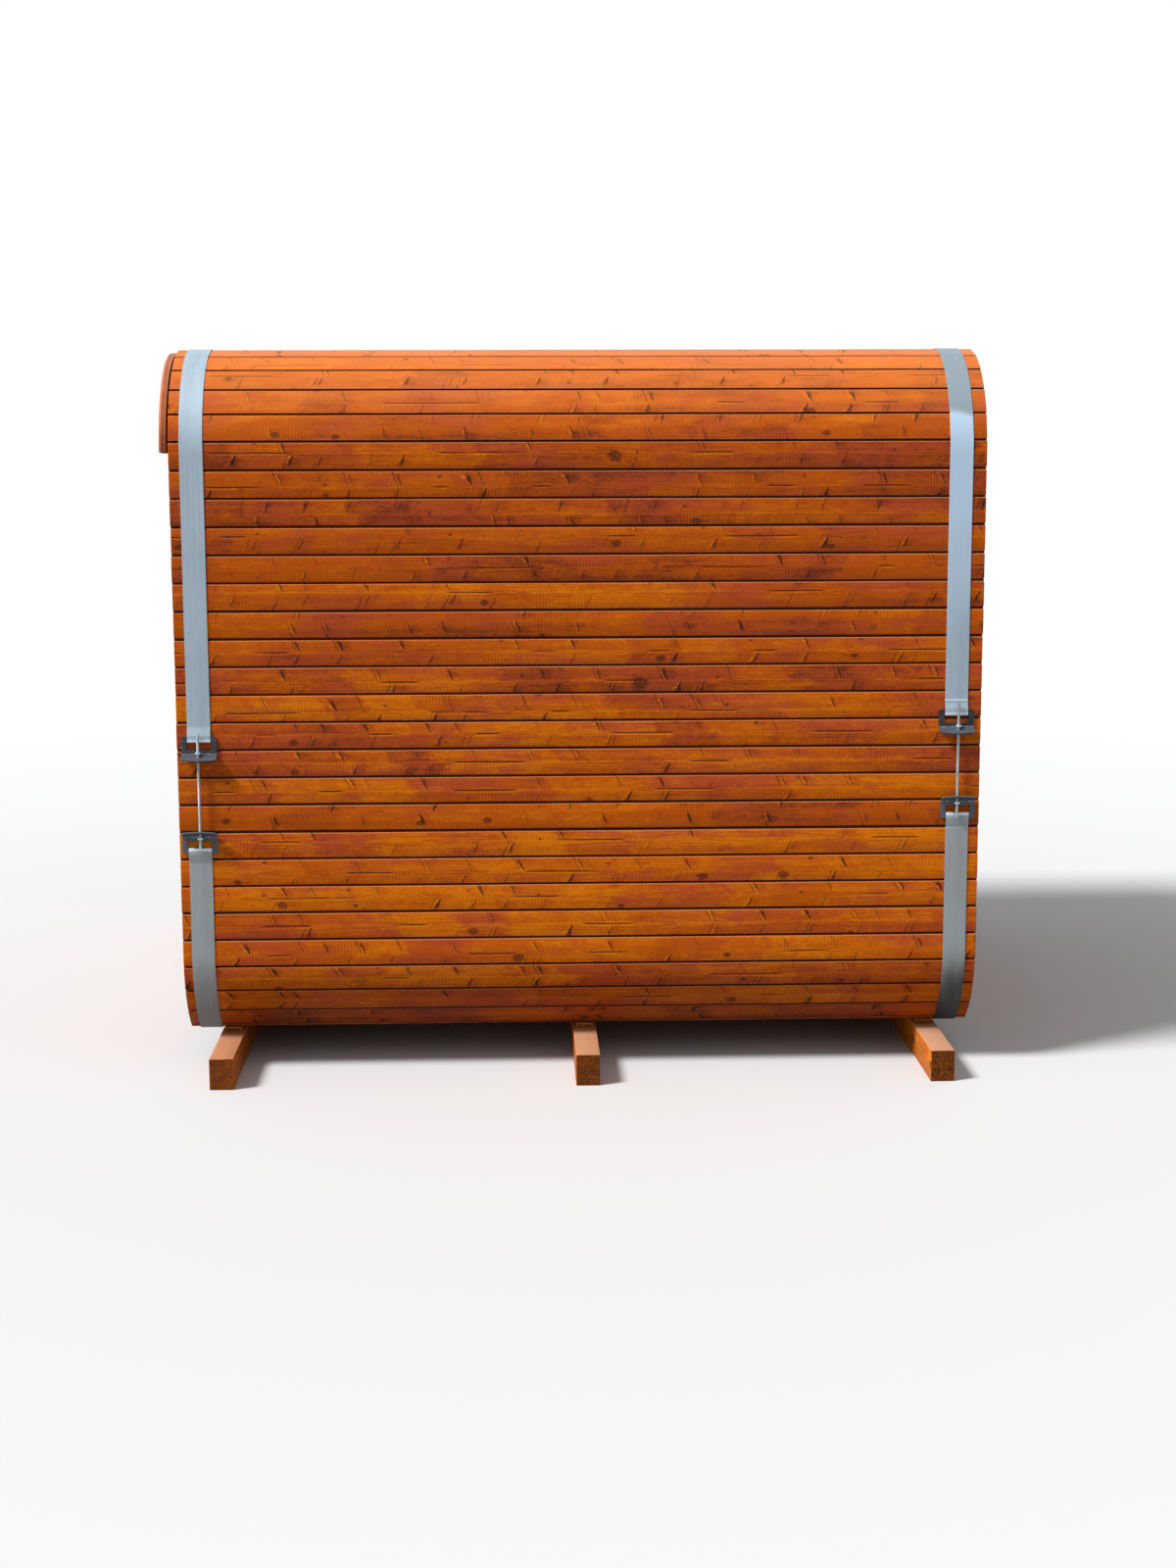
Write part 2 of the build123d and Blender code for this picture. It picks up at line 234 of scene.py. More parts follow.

    # Cracks on the heart line with a painted highlight on a lip, pale thread, planer ripple, soaked blotches
    heart_line = across + drift * 0.012
    crack_gate = grain.noise((2.8, 0.0, 7.0)).step(0.53, 0.575) * kind.step(0.20, 0.25)
    crack = abs(heart_line).step(0.0030, 0.0012) * crack_gate
    # A painted highlight along one lip of each crack
    crack_lip_highlight = abs(heart_line + 0.0048).step(0.0034, 0.0010) * crack_gate
    thread = abs(heart_line).step(0.0040, 0.0008) * (1 - crack_gate) * hue.step(0.35, 0.45)
    ripple_pitch = 0.0104
    ripple = (along * (2 * pi / ripple_pitch) + drift * 3.0 + off_heart * 30.0).math("SINE")
    chatter = ripple * grain.noise((3.0, 26.0, 11.0)).step(0.50, 0.60)
    blotch = grain.noise((9.0, 17.0, 15.0), 4.0, 0.65).step(0.585, 0.72)
    rim_shade = off_heart.step(0.018, 0.045) * cloud.step(0.42, 0.60)
    torn = whorl_place * 0.8 + (grain.noise((14.0, 50.0, 30.0), 4.0, 0.65) - 0.5) * 0.8
    patch = start.add("TexVoronoi", {"W": torn, "Scale": 1.0, "Smoothness": 0.25}, out="Color",
                      voronoi_dimensions="1D", feature="SMOOTH_F1").split()[1] - 0.5

    # Colour: deep, warm and golden stain by level, then the marks over it
    level = (tone - 0.5) * 0.30 + 0.58
    for clouds, share in ((band, 0.50), (streak, 0.58), (cloud, 0.54), (fibre, 0.54), (mottle, 0.46),
                          (fleck, 0.56), (slow, 0.46)):
        level = level + (clouds - 0.5) * share
    # Painted light: more golden below about a metre as bounce light, darker at the very bottom as painted
    # shade, lighter on faces turned partly up and darker on faces turned well up
    level = level + height.step(1.1, 0.6) * 0.14 - height.step(0.42, 0.20) * 0.28
    level = level + upward.step(0.10, 0.30) * 0.12 - upward.step(0.62, 0.95) * 0.20
    level = level + patch * 0.26 - blotch * 0.14 - rim_shade * 0.12 - late * (kind * 0.24) + thread * 0.16
    level = level + golden_side * 0.62 - halo * 0.16 + chatter * 0.10 + crack_lip_highlight * 0.30
    level = level - knot_halo * 0.10 + curl * 0.36
    wine = (grain.noise((2.6, 9.0, 14.0), 4.0, 0.65) + (hue - 0.5) * 0.08 - patch * 0.08).step(0.44, 0.64)
    colour = (wine * 0.72).tint(warm, wined)
    colour = level.step(0.02, 0.55).tint(deep, colour)
    colour = (level + (hue - 0.5) * 0.16 - wine * 0.10).step(0.47, 1.04).tint(colour, golden)
    mark = (stroke * (weight * 0.42 + 0.50)).larger(twin * 0.55).larger(knot_core * 0.72)
    mark = mark.larger(knot_rim * 0.80).larger(crack * 0.85) * (1 - sawn_end)
    colour = mark.tint(colour, dark)
    fading = (upward + (cloud - 0.5) * 0.5).step(0.10, 1.0) * (1 - mark * 0.6)
    colour = (fading * (hue * 0.5 + 0.75) * fade).tint(colour, bleached)
    # Pale arrises: worn stain, shown only where they face up, so partly worn and partly a painted highlight
    arris_wear_and_highlight = arris * upward.step(-0.5, 0.6) * ((streak - 0.5) * 1.6 + 0.60 - mark * 0.3)
    colour = arris_wear_and_highlight.tint(colour, worn)
    # Painted shade: the arris strip by each gap, where it faces up, and the sides of the gap itself
    colour = (lip * upward.step(-0.2, 0.3) * 0.80).tint(colour, shadow)
    colour = (groove * 0.97).tint(colour, shadow)
    saw = grain.noise((60.0, 170.0, 170.0), 3.0, 0.7)
    colour = (sawn_end * (late * 0.14 + tone * 0.20 + 0.62 + (saw - 0.5) * 1.4)).tint(colour, dark)
    pale = (late * 0.35 + (streak - 0.5) * 0.5 + mark * 0.7).step(0.0, 1.0).tint(bare, warm)
    colour = inside.tint(colour, pale)

    # The stain is satin, rougher on sawn ends and on the bare inside
    sheen = sawn_end * 0.25 + inside * 0.2 + (cloud - 0.5) * 0.25 + mark * 0.15 + roughness
    relief = streak * 0.6 + fibre * 0.6 - late * 0.25 - crack * 1.2 - knot_core * 0.5 + chatter * 0.4
    bump = start.add("Bump", {"Height": relief + saw * sawn_end * 1.5, "Strength": 0.5, "Distance": 0.0007})
    feed(shader, {"Base Color": colour, "Roughness": sheen, "Normal": bump, "Specular IOR Level": 0.09})
    return finish


def rounded_section(half_a, half_b, arris, steps=3):
    """Closed rectangle with quarter rounds at its corners, as (a, b) points going round once."""
    turns = np.linspace(0, pi / 2, steps)
    points = []
    for corner, (sign_a, sign_b) in enumerate(((1, 1), (-1, 1), (-1, -1), (1, -1))):
        angle = turns + corner * pi / 2
        a = sign_a * (half_a - arris) + arris * np.cos(angle)
        b = sign_b * (half_b - arris) + arris * np.sin(angle)
        points.append(np.stack([a, b], axis=1))
    return np.concatenate(points)


def eased_run(start, stop, number, ease):
    """Stations from start to stop: a number of even ones, and each end a short ease away from them."""
    return np.concatenate([[start], np.linspace(start + ease, stop - ease, number), [stop]])


def carried(section, places, across, out, shrink=0.0):
    """Closed section carried through stations: P(i, j) = place_i + a_j * across_i + b_j * out_i.

    Where shrink_i is above 0 the section is drawn in by that much on each side, for an eased end.
    """
    stations, count = len(places), len(section)
    across, out = (np.broadcast_to(way, places.shape) for way in (across, out))
    drawn_in = np.broadcast_to(shrink, stations)[:, None, None] * np.sign(section)
    ab = section[None] - drawn_in
    points = places[:, None] + ab[..., :1] * across[:, None] + ab[..., 1:] * out[:, None]
    return points.reshape(-1, 3), grid_faces(stations, count)


def grid_quads(rows, columns, closed=True):
    """Quads of a grid of points, (i, j) being point i * columns + j. A closed row joins its two ends."""
    i, j = np.meshgrid(np.arange(rows - 1), np.arange(columns if closed else columns - 1), indexing="ij")
    here, after = i * columns + j, i * columns + (j + 1) % columns
    return np.stack([here, after, after + columns, here + columns], axis=-1)


def grid_faces(stations, count):
    """Faces of a tube of stations by count points, in quads, with one face over each open end."""
    first = list(range(count))[::-1]
    last = [(stations - 1) * count + place for place in range(count)]
    return grid_quads(stations, count).reshape(-1, 4).tolist() + [first, last]


def put(name, data):
    """An object with that data, put into the scene at the origin."""
    item = bpy.data.objects.new(name, data)
    bpy.context.scene.collection.objects.link(item)
    return item


def build(name, parts, finish, node):
    """Join parts of (points, faces, grain, board, skin) to one piece that stands for the CAD node."""
    mesh = bpy.data.meshes.new(name)
    starts = np.cumsum([0] + [len(part[0]) for part in parts])
    faces = [[start + place for place in face] for part, start in zip(parts, starts) for face in part[1]]
    mesh.from_pydata(np.concatenate([part[0] for part in parts]).tolist(), [], faces)
    notes = (("grain", "POINT"), ("board", "FACE"), ("skin", "FACE"))
    for column, (label, domain) in enumerate(notes[: len(parts[0]) - 2], start=2):
        values = np.concatenate([part[column] for part in parts]).astype(np.float32)
        mesh.attributes.new(label, "FLOAT_VECTOR", domain).data.foreach_set("vector", values.ravel())
    turn_outward(mesh)
    mesh.shade_smooth()
    mesh.set_sharp_from_angle(angle=radians(30))
    mesh.materials.append(finish)
    piece = put(name, mesh)
    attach(piece, "root")
    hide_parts(node)


def turn_outward(mesh):
    """Turn the faces so that they point outwards on each closed surface."""
    work = bmesh.new()
    work.from_mesh(mesh)
    bmesh.ops.recalc_face_normals(work, faces=work.faces)
    work.to_mesh(mesh)
    work.free()


def board_notes(seeds, faces, strips):
    """Board and skin values of a length: one board all over, sawn at its last two faces.

    The strips hold the skin (bare inside, sawn end, edge) of each strip of the section, or of each
    face. The edge is 1 in a gap, painted in shade, falls from -1 to -2 down an arris, worn pale and
    painted lighter where it faces up with painted shade at its lip, and is 0 elsewhere.
    """
    board = np.tile(seeds.random(3), (len(faces), 1))
    skin = np.resize(strips, (len(faces), 3)).astype(float)
    skin[-2:] = 0, 1, 0
    return board, skin


def edge_strips(edges):
    """Skin of a section's strips that have no more than an edge."""
    return np.outer(edges, (0, 0, 1))


end_arris = 0.0015
planing_slack = 0.0002
length_stations = 10

# Each length is cut from a place of its own in a figure that is this many metres long
grain_spread = 40


def length_of_timber(low, high, axis, arris, seeds):
    """A planed length that fills the box from low to high and runs along the axis 0, 1 or 2."""
    low, high = np.array(low), np.array(high)
    middle, half = (low + high) / 2, (high - low) / 2
    wide, thin = sorted((side for side in range(3) if side != axis), key=lambda side: -half[side])
    unit = np.eye(3)
    run = eased_run(-half[axis], half[axis], length_stations, end_arris)
    shrink = seeds.random(len(run)) * planing_slack
    shrink[[0, -1]] = end_arris
    section = rounded_section(half[wide], half[thin], arris)
    points, faces = carried(section, middle + run[:, None] * unit[axis], unit[wide], unit[thin], shrink)
    heart = (seeds.random() - 0.5) * half[wide]
    away = points - middle
    along = away[:, axis] + seeds.random() * grain_spread
    grain = np.stack([along, away[:, wide] - heart, away[:, thin] + half[thin]], axis=1)
    return points, faces, grain, *board_notes(seeds, faces, edge_strips((-1, -1, 0)))


bearer_finish = stained_softwood(
    "bearer_stain",
    deep=(0.34, 0.075, 0.008), warm=(0.74, 0.200, 0.006), wined=(0.56, 0.150, 0.028),
    golden=(0.92, 0.295, 0.003), bleached=(0.50, 0.265, 0.160), dark=(0.050, 0.014, 0.005),
    shadow=(0.015, 0.006, 0.004), worn=(0.70, 0.27, 0.10), bare=(0.50, 0.30, 0.15),
    roughness=0.55, fade=0.80)
bearers = ["bearer_front", "bearer_middle", "bearer_rear"]
bearer_arris = 0.003
packer_arris = 0.0015
seeds = np.random.default_rng(9080)
for name in bearers:
    timber = length_of_timber(*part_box(name), 1, bearer_arris, seeds)
    build(name + "_timber", [timber], bearer_finish, name)

packer_low, packer_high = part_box("packers")
bearer_middles = [(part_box(name)[0].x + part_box(name)[1].x) / 2 for name in bearers]
packer_half = packer_high.x - bearer_middles[-1]
packer_parts = []
for middle in bearer_middles:
    low = (middle - packer_half, packer_low.y, packer_low.z)
    high = (middle + packer_half, packer_high.y, packer_high.z)
    packer_parts.append(length_of_timber(low, high, 1, packer_arris, seeds))
build("packer_boards", packer_parts, bearer_finish, "packers")


# Shell: spruce staves, planed flat, grooved on one edge and tongued on the other, that run the pod's
# whole length. A gap with eased arrises shows at each joint. In the corners each stave is mitred, so
# the outside turns in flat steps. Outside they are stained, inside they are bare.

stave_width = 0.090
corner_staves = 5
lower_corner_staves = 3
sole_stave_width = 0.027
stave_play = 0.0003
near_low, near_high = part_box("near_wall")
half_width = -near_low.y
stave_thickness = near_high.y - near_low.y
shell_front, shell_rear = near_low.x, near_high.x
end_wall_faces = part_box("front_wall_near")[0].x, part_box("back_wall")[1].x
wall_base, wall_top = near_low.z - stave_play / 2, near_high.z + stave_play / 2
turn = radians(90 / (corner_staves + 1))


def stave_walk(widths, direction):
    """Corners met as the staves turn inward: each adds width * (sin, direction * cos) of its tilt."""
    tilt = turn * np.arange(1, len(widths) + 1)
    steps = np.array(widths)[:, None] * np.stack([np.sin(tilt), direction * np.cos(tilt)], axis=1)
    return np.cumsum(steps, axis=0)


lower_walk = stave_walk([stave_width] * lower_corner_staves + [sole_stave_width], -1)
upper_walk = stave_walk([stave_width] * corner_staves, 1)
near_side = np.concatenate([
    (lower_walk + (-half_width, wall_base))[::-1],
    [(-half_width, wall_base), (-half_width, wall_top)],
    upper_walk + (-half_width, wall_top)])
outline = np.concatenate([near_side, (near_side * (-1, 1))[::-1]])


def inset(points, distance):
    """Closed outline moved inward: each corner goes distance * (n1 + n2) / (1 + n1.n2)."""
    side = np.roll(points, -1, axis=0) - points
    normal = np.stack([side[:, 1], -side[:, 0]], axis=1) / np.linalg.norm(side, axis=1)[:, None]
    before = np.roll(normal, 1, axis=0)
    share = distance / (1 + (normal * before).sum(axis=1))
    return points + share[:, None] * (normal + before)


joint_gap = 0.0030
joint_depth = 0.010
stave_arris = 0.0030
inner_chamfer = 0.002
stave_slip = stave_play / 2
stave_end_ease = 0.0016
stave_short = 0.0015
joint_slack = 0.0015
edge_wave = 0.0006
face_wave = 0.0005
face_slack = 0.0004
stave_spread = 60
stave_stations = 20

# Less than any real difference in size, it keeps comparisons clear of rounding
hair = 1e-6


def stave_profile(thickness):
    """Section of a grooved board, as (side, distance from that side, depth, kind) going round once.

    Kind 0 is the outer face, 1 its arris or gap, 2 what stays put. The gap is as deep as joint_depth.
    """
    theta = np.linspace(0, pi / 2, 4)
    arris = zip(joint_gap + stave_arris * (1 - np.sin(theta)), stave_arris * (1 - np.cos(theta)))
    down = [(joint_gap, joint_depth, 1), (stave_slip, joint_depth, 2)]
    down += [(stave_slip, thickness - inner_chamfer, 2), (stave_slip + inner_chamfer, thickness, 2)]
    first = [(0, d, z, 1) for d, z in arris] + [(0, d, z, kind) for d, z, kind in down]
    second = [(1, d, z, kind) for _, d, z, kind in reversed(first)]
    return np.array(first + second)


def profile_skins(profile):
    """Skin of each strip of the profile: bare inside, an edge of 1 in the gap, -1 to -2 down the arris."""
    deeper = np.maximum(profile[:, 2], np.roll(profile, -1, axis=0)[:, 2])
    inside = deeper > profile[:, 2].max() - hair
    flank = (deeper > stave_arris + hair) & ~inside
    arris = (deeper > hair) & (deeper <= stave_arris + hair)
    fall = np.clip(deeper / stave_arris, 0, 1) ** 2
    return np.stack([inside, np.zeros(len(profile)), flank * 1.0 - arris * (1 + fall)], axis=1)


def wander(run, seeds, size):
    """Slow wave along the run: a sum of three sines with random phase, no larger than the size."""
    waves = seeds.random((3, 2))
    lengths = np.array([1.7, 0.8, 0.35])[:, None]
    return size * (np.sin(2 * pi * (run / lengths + waves[:, :1])) * (waves[:, 1:] + 0.3)).sum(axis=0) / 3.9


def stave(corners, thickness, run, seeds):
    """A board along X between (outer a, outer b, inner b, inner a) in the YZ plane.

    P = lerp of the outer points by the share across, plus depth along the line to the inner points.
    """
    outer_a, outer_b, inner_b, inner_a = (np.array(corner) for corner in corners)
    width = np.linalg.norm(outer_b - outer_a)
    profile = stave_profile(thickness)
    side, distance, depth, kind = profile.T
    loose = (kind < 2)[None]
    wave_a, wave_b = wander(run, seeds, edge_wave), wander(run, seeds, edge_wave)
    shy = np.abs(wander(run, seeds, face_wave)) + seeds.random() * face_slack
    ends = np.zeros(len(run))
    ends[[0, -1]] = stave_end_ease
    slack_a, slack_b = seeds.random(2) ** 2 * joint_slack
    slack = np.where(side[None] == 0, wave_a[:, None] + slack_a, wave_b[:, None] + slack_b)
    moved = distance[None] + loose * (slack + ends[:, None])
    sunk = depth[None] + loose * (depth[None] < joint_depth - hair) * (shy + ends)[:, None]
    share = np.where(side[None] == 0, moved / width, 1 - moved / width)[..., None]
    outer = outer_a + share * (outer_b - outer_a)
    inner = inner_a + share * (inner_b - inner_a)
    yz = outer + (sunk / thickness)[..., None] * (inner - outer)
    x = np.broadcast_to(run[:, None, None], yz.shape[:2] + (1,))
    points = np.concatenate([x, yz], axis=2).reshape(-1, 3)
    faces = grid_faces(len(run), len(profile))
    heart = (seeds.random() - 0.5) * width * 0.35
    along = np.broadcast_to(run[:, None] + seeds.random() * stave_spread, sunk.shape)
    grain = np.stack([along, share[..., 0] * width - width / 2 - heart, sunk], axis=2).reshape(-1, 3)
    skin = np.tile(profile_skins(profile), (len(run) - 1, 1, 1))
    middle = (run[:-1] + run[1:]) / 2
    skin[..., 0] *= ((middle > end_wall_faces[0]) & (middle < end_wall_faces[1]))[:, None]
    return points, faces, grain, *board_notes(seeds, faces, skin)


def facet_staves(facet, seeds):
    """Staves that fill one side of the outline: as many whole widths as come nearest to it."""
    after = (facet + 1) % len(outline)
    inner = inset(outline, stave_thickness)
    way = outline[after] - outline[facet]
    span = np.linalg.norm(way)
    number = max(1, round(span / stave_width))
    joints_outer = outline[facet] + np.linspace(0, 1, number + 1)[:, None] * way
    joints_inner = joints_outer + way[::-1] * (1, -1) / span * stave_thickness
    joints_inner[0], joints_inner[-1] = inner[facet], inner[after]
    made = []
    for place in range(number):
        front_short, rear_short = seeds.random(2) * stave_short
        front, rear = shell_front + front_short, shell_rear - rear_short
        between = np.linspace(*end_wall_faces, stave_stations)
        run = np.concatenate([[front, front + stave_end_ease], between, [rear - stave_end_ease, rear]])
        corners = joints_outer[place], joints_outer[place + 1], joints_inner[place + 1], joints_inner[place]
        made.append(stave(corners, stave_thickness, run, seeds))
    return made


stave_finish = stained_softwood(
    "stave_stain",
    deep=(0.150, 0.025, 0.009), warm=(0.46, 0.080, 0.002), wined=(0.40, 0.056, 0.021),
    golden=(0.70, 0.185, 0.001), bleached=(0.76, 0.225, 0.050), dark=(0.030, 0.009, 0.004),
    shadow=(0.085, 0.024, 0.010), worn=(0.64, 0.21, 0.070), bare=(0.62, 0.42, 0.23),
    roughness=0.45, fade=0.62)
near_facet = lower_corner_staves + 1
roof_facet = near_facet + corner_staves + 1
far_facet = roof_facet + corner_staves + 1
shell = {
    "near_lower_corner": range(near_facet),
    "near_wall": [near_facet],
    "near_upper_corner": range(near_facet + 1, roof_facet),
    "roof": [roof_facet],
    "far_upper_corner": range(roof_facet + 1, far_facet),
    "far_wall": [far_facet],
    "far_lower_corner": range(far_facet + 1, len(outline) - 1),
    "floor": [len(outline) - 1],
}
seeds = np.random.default_rng(23)
for name, facets in shell.items():
    staves = [part for facet in facets for part in facet_staves(facet, seeds)]
    build(name + "_staves", staves, stave_finish, name)


# End walls: boards of the same grooved spruce, laid level and let in between the staves. The front
# one stops at the doorway and carries on above it, the rear one is unbroken. Their joints stand at
# the same heights as those of the long walls.

wall_play = 0.0003
least_board = 0.012
end_outline = inset(outline, stave_thickness + wall_play)
rising = end_outline[: len(outline) // 2]
front_low, front_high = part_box("front_wall_near")
board_thickness = front_high.x - front_low.x
longest_board = 2.3
board_wave = 0.0005
board_sunk = 0.0005
heart_spread = 0.03
board_stations = 14
front_rows, rear_rows = 500, 900


def half_span(z):
    """Half the width between the staves at a height."""
    return np.interp(z, rising[:, 1], -rising[:, 0])


def end_board(base, top, face, inward, left, right, seeds):
    """A level board from base to top. At each height it runs in Y from left(z) to right(z).

    P = (face + inward * depth, lerp(left, right, t), height), with the same section as a stave, and
    more points up its second side, so that its end follows the turn of the staves.
    """
    rises = np.linspace(0, 1, 9)[1:-1] * (top - base)
    profile = np.concatenate([stave_profile(board_thickness), [(1, rise, 0, 0) for rise in rises]])
    side, distance, depth, kind = profile.T
    z = np.where(side == 0, base + distance, top - distance)
    t = np.linspace(0, 1, board_stations)[:, None]
    wave = wander(t[:, 0] * longest_board, seeds, board_wave)[:, None]
    z = z[None] + (kind == 1)[None] * np.where(side == 0, wave, -wave)
    y = left(z) + t * (right(z) - left(z))
    sunk = depth[None] + (depth[None] < joint_depth - hair) * (seeds.random() * board_sunk)
    points = np.stack(np.broadcast_arrays(face + inward * sunk, y, z), axis=2).reshape(-1, 3)
    faces = grid_faces(len(t), len(profile))
    heart = (seeds.random() - 0.5) * heart_spread
    across = z - (base + top) / 2 - heart
    along = y + seeds.random() * stave_spread
    grain = np.stack(np.broadcast_arrays(along, across, sunk), axis=2).reshape(-1, 3)
    return points, faces, grain, *board_notes(seeds, faces, profile_skins(profile))


def board_rows(low, high):
    """Heights of the rows of boards from low to high, in step with the joints of the long walls."""
    below = ceil((wall_base - low) / stave_width)
    above = ceil((high - wall_base) / stave_width)
    joints = np.clip(wall_base + stave_width * np.arange(-below, above + 1), low, high)
    joints = joints[np.append(np.diff(joints) > least_board, True)]
    joints[0], joints[-1] = low, high
    return list(zip(joints[:-1], joints[1:]))


def end_wall(name, inward, left, right, first_row):
    """Rows of boards for one part of an end wall. A row has the same random draw in every part."""
    low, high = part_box(name)
    face = low.x if inward > 0 else high.x
    parts = []
    for base, top in board_rows(low.z, high.z):
        row = first_row + round((top - wall_base) / stave_width)
        parts.append(end_board(base, top, face, inward, left, right, np.random.default_rng(row)))
    build(name + "_boards", parts, stave_finish, name)


door_side = front_high.y
over_low, over_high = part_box("front_wall_over_door")
end_wall("front_wall_near", 1, lambda z: -half_span(z), lambda z: door_side, front_rows)
end_wall("front_wall_far", 1, lambda z: -door_side, half_span, front_rows)
end_wall("front_wall_over_door", 1, lambda z: over_low.y, lambda z: over_high.y, front_rows)
end_wall("back_wall", -1, lambda z: -half_span(z), half_span, rear_rows)


# Doorway and door: a lining of planed boards stands a little proud of the wall. The leaf is two
# stiles and two rails of the same timber round one clear pane, flush with the lining outside.

joinery_finish = stained_softwood(
    "joinery_stain",
    deep=(0.125, 0.024, 0.006), warm=(0.37, 0.064, 0.005), wined=(0.33, 0.050, 0.012),
    golden=(0.56, 0.150, 0.004), bleached=(0.50, 0.150, 0.040), dark=(0.030, 0.009, 0.005),
    shadow=(0.010, 0.004, 0.003), worn=(0.60, 0.20, 0.07), bare=(0.62, 0.42, 0.23),
    roughness=0.42, fade=0.40)
joinery_arris = 0.003
glass_play = 0.0003
head_low, head_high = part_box("door_head")
jamb_low, jamb_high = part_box("door_jambs")
lining_thickness = head_high.z - head_low.z
stile_low, stile_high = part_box("door_stiles")
rail_low, rail_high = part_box("door_rails")
glass_low, glass_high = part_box("door_glass")
seeds = np.random.default_rng(37)


def pair(name, joint_axis, run_axis, inner):
    """Two like lengths at the two ends of the node's box, each reaching in to its inner place."""
    parts = []
    for end, place in enumerate(inner):
        low, high = (list(corner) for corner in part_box(name))
        (high, low)[end][joint_axis] = place
        parts.append(length_of_timber(low, high, run_axis, joinery_arris, seeds))
    build(name + "_timber", parts, joinery_finish, name)


pair("door_jambs", 1, 2, (jamb_low.y + lining_thickness, jamb_high.y - lining_thickness))
for name in ("door_head", "door_threshold"):
    timber = length_of_timber(*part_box(name), 1, joinery_arris, seeds)
    build(name + "_timber", [timber], joinery_finish, name)
pair("door_stiles", 1, 2, (rail_low.y, rail_high.y))
pair("door_rails", 2, 1, (glass_low.z - glass_play, glass_high.z + glass_play))

glass_finish, start, shader = new_finish("clear_glass")
film = start.position().noise((3.0, 3.0, 1.2), 3.0).step(0.3, 0.8) * 0.05 + 0.02
feed(shader, {"Base Color": (0.80, 0.84, 0.83, 1), "Roughness": film, "IOR": 1.5,
              "Transmission Weight": 1.0})
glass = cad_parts["door_glass"]
glass.data.materials.clear()
glass.data.materials.append(glass_finish)


# Hinges and handles: black steel hinges screwed over the gap on the far side, each with its
# knuckled barrel in front, and a turned bar of bare timber on two posts on each face of the leaf.

def revolved(radii, runs, foot, direction, sides=20):
    """Surface of revolution: P(i, j) = foot + run_i * direction + radius_i * (cos, sin)(2 pi j / sides)."""
    direction = np.array(direction, float)
    helper = np.eye(3)[np.argmin(np.abs(direction))]
    across = np.cross(direction, helper)
    across /= np.linalg.norm(across)
    out = np.cross(direction, across)
    angle = 2 * pi * np.arange(sides) / sides
    ring = np.cos(angle)[:, None] * across + np.sin(angle)[:, None] * out
    centres = np.array(foot) + np.array(runs)[:, None] * direction
    points = centres[:, None] + np.array(radii)[:, None, None] * ring[None]
    return points.reshape(-1, 3), grid_faces(len(radii), sides)


def steel(name, colour, second, roughness, metallic, scale):
    """Steel or the paint on it: two shades in soft clouds stretched by the scale, finely scratched."""
    finish, start, shader = new_finish(name)
    place = start.position()
    cloud = place.noise(scale, 4.0, 0.6)
    scratch = place.noise(tuple(value * 6 for value in scale))
    shade = cloud.step(0.35, 0.65).tint(colour, second)
    relief = cloud * 0.4 + scratch * 0.6
    bump = start.add("Bump", {"Height": relief, "Strength": 0.2, "Distance": 0.0002})
    sheen = (scratch - 0.5) * 0.25 + roughness
    feed(shader, {"Base Color": shade, "Roughness": sheen, "Normal": bump, "Metallic": metallic})
    return finish


hinge_finish = steel("hinge_paint", (0.022, 0.022, 0.024), (0.045, 0.045, 0.048), 0.42, 0.0, (40, 40, 8))
hinge_low, hinge_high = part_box("door_hinges")
hinge_count = 3
hinge_height = 0.090
hinge_corner = 0.006
plate_thickness = 0.0025
plate_ease = 0.0004
plate_back = hinge_high.x
hinge_line = (hinge_low.y + hinge_high.y) / 2
plate_half = (hinge_high.y - hinge_low.y) / 2
knuckles = 5
knuckle_height = hinge_height / knuckles
knuckle_ease = 0.0005
barrel_radius = 0.006
barrel_groove = barrel_radius - 0.0008
screw_spacing = 0.032
screw_place = plate_half * 0.62
screw_radius = 0.0042
screw_radii = [screw_radius, screw_radius, screw_radius * 0.7, 0.0006]
screw_runs = [-0.0005, 0.0004, 0.0011, 0.0013]

# The last ring of a knuckle stands a hundredth of a millimetre past the next one's first
barrel_runs = knuckle_height * np.arange(knuckles)[:, None] + np.array(
    [0, knuckle_ease, knuckle_height - knuckle_ease, knuckle_height])
barrel_runs[:-1, -1] += 1e-5
barrel_radii = np.tile([barrel_groove, barrel_radius, barrel_radius, barrel_groove], knuckles)
plate_section = rounded_section(plate_half, hinge_height / 2, hinge_corner, steps=5)
plate_layers = np.array([0, plate_ease, plate_thickness - plate_ease, plate_thickness])
plate_shrink = np.array([plate_ease, 0, 0, plate_ease])
hinge_parts = []
for centre in np.linspace(hinge_low.z + hinge_height / 2, hinge_high.z - hinge_height / 2, hinge_count):
    places = (plate_back, hinge_line, centre) - plate_layers[:, None] * (1, 0, 0)
    hinge_parts.append(carried(plate_section, places, (0, 1, 0), (0, 0, 1), plate_shrink))
    foot = (plate_back - barrel_radius, hinge_line, centre - hinge_height / 2)
    hinge_parts.append(revolved(barrel_radii, barrel_runs.ravel(), foot, (0, 0, 1)))
    for side in (-1, 1):
        for rise in (-screw_spacing, 0, screw_spacing):
            foot = (plate_back - plate_thickness, hinge_line + side * screw_place, centre + rise)
            hinge_parts.append(revolved(screw_radii, screw_runs, foot, (-1, 0, 0), 14))
build("door_hinges_steel", hinge_parts, hinge_finish, "door_hinges")

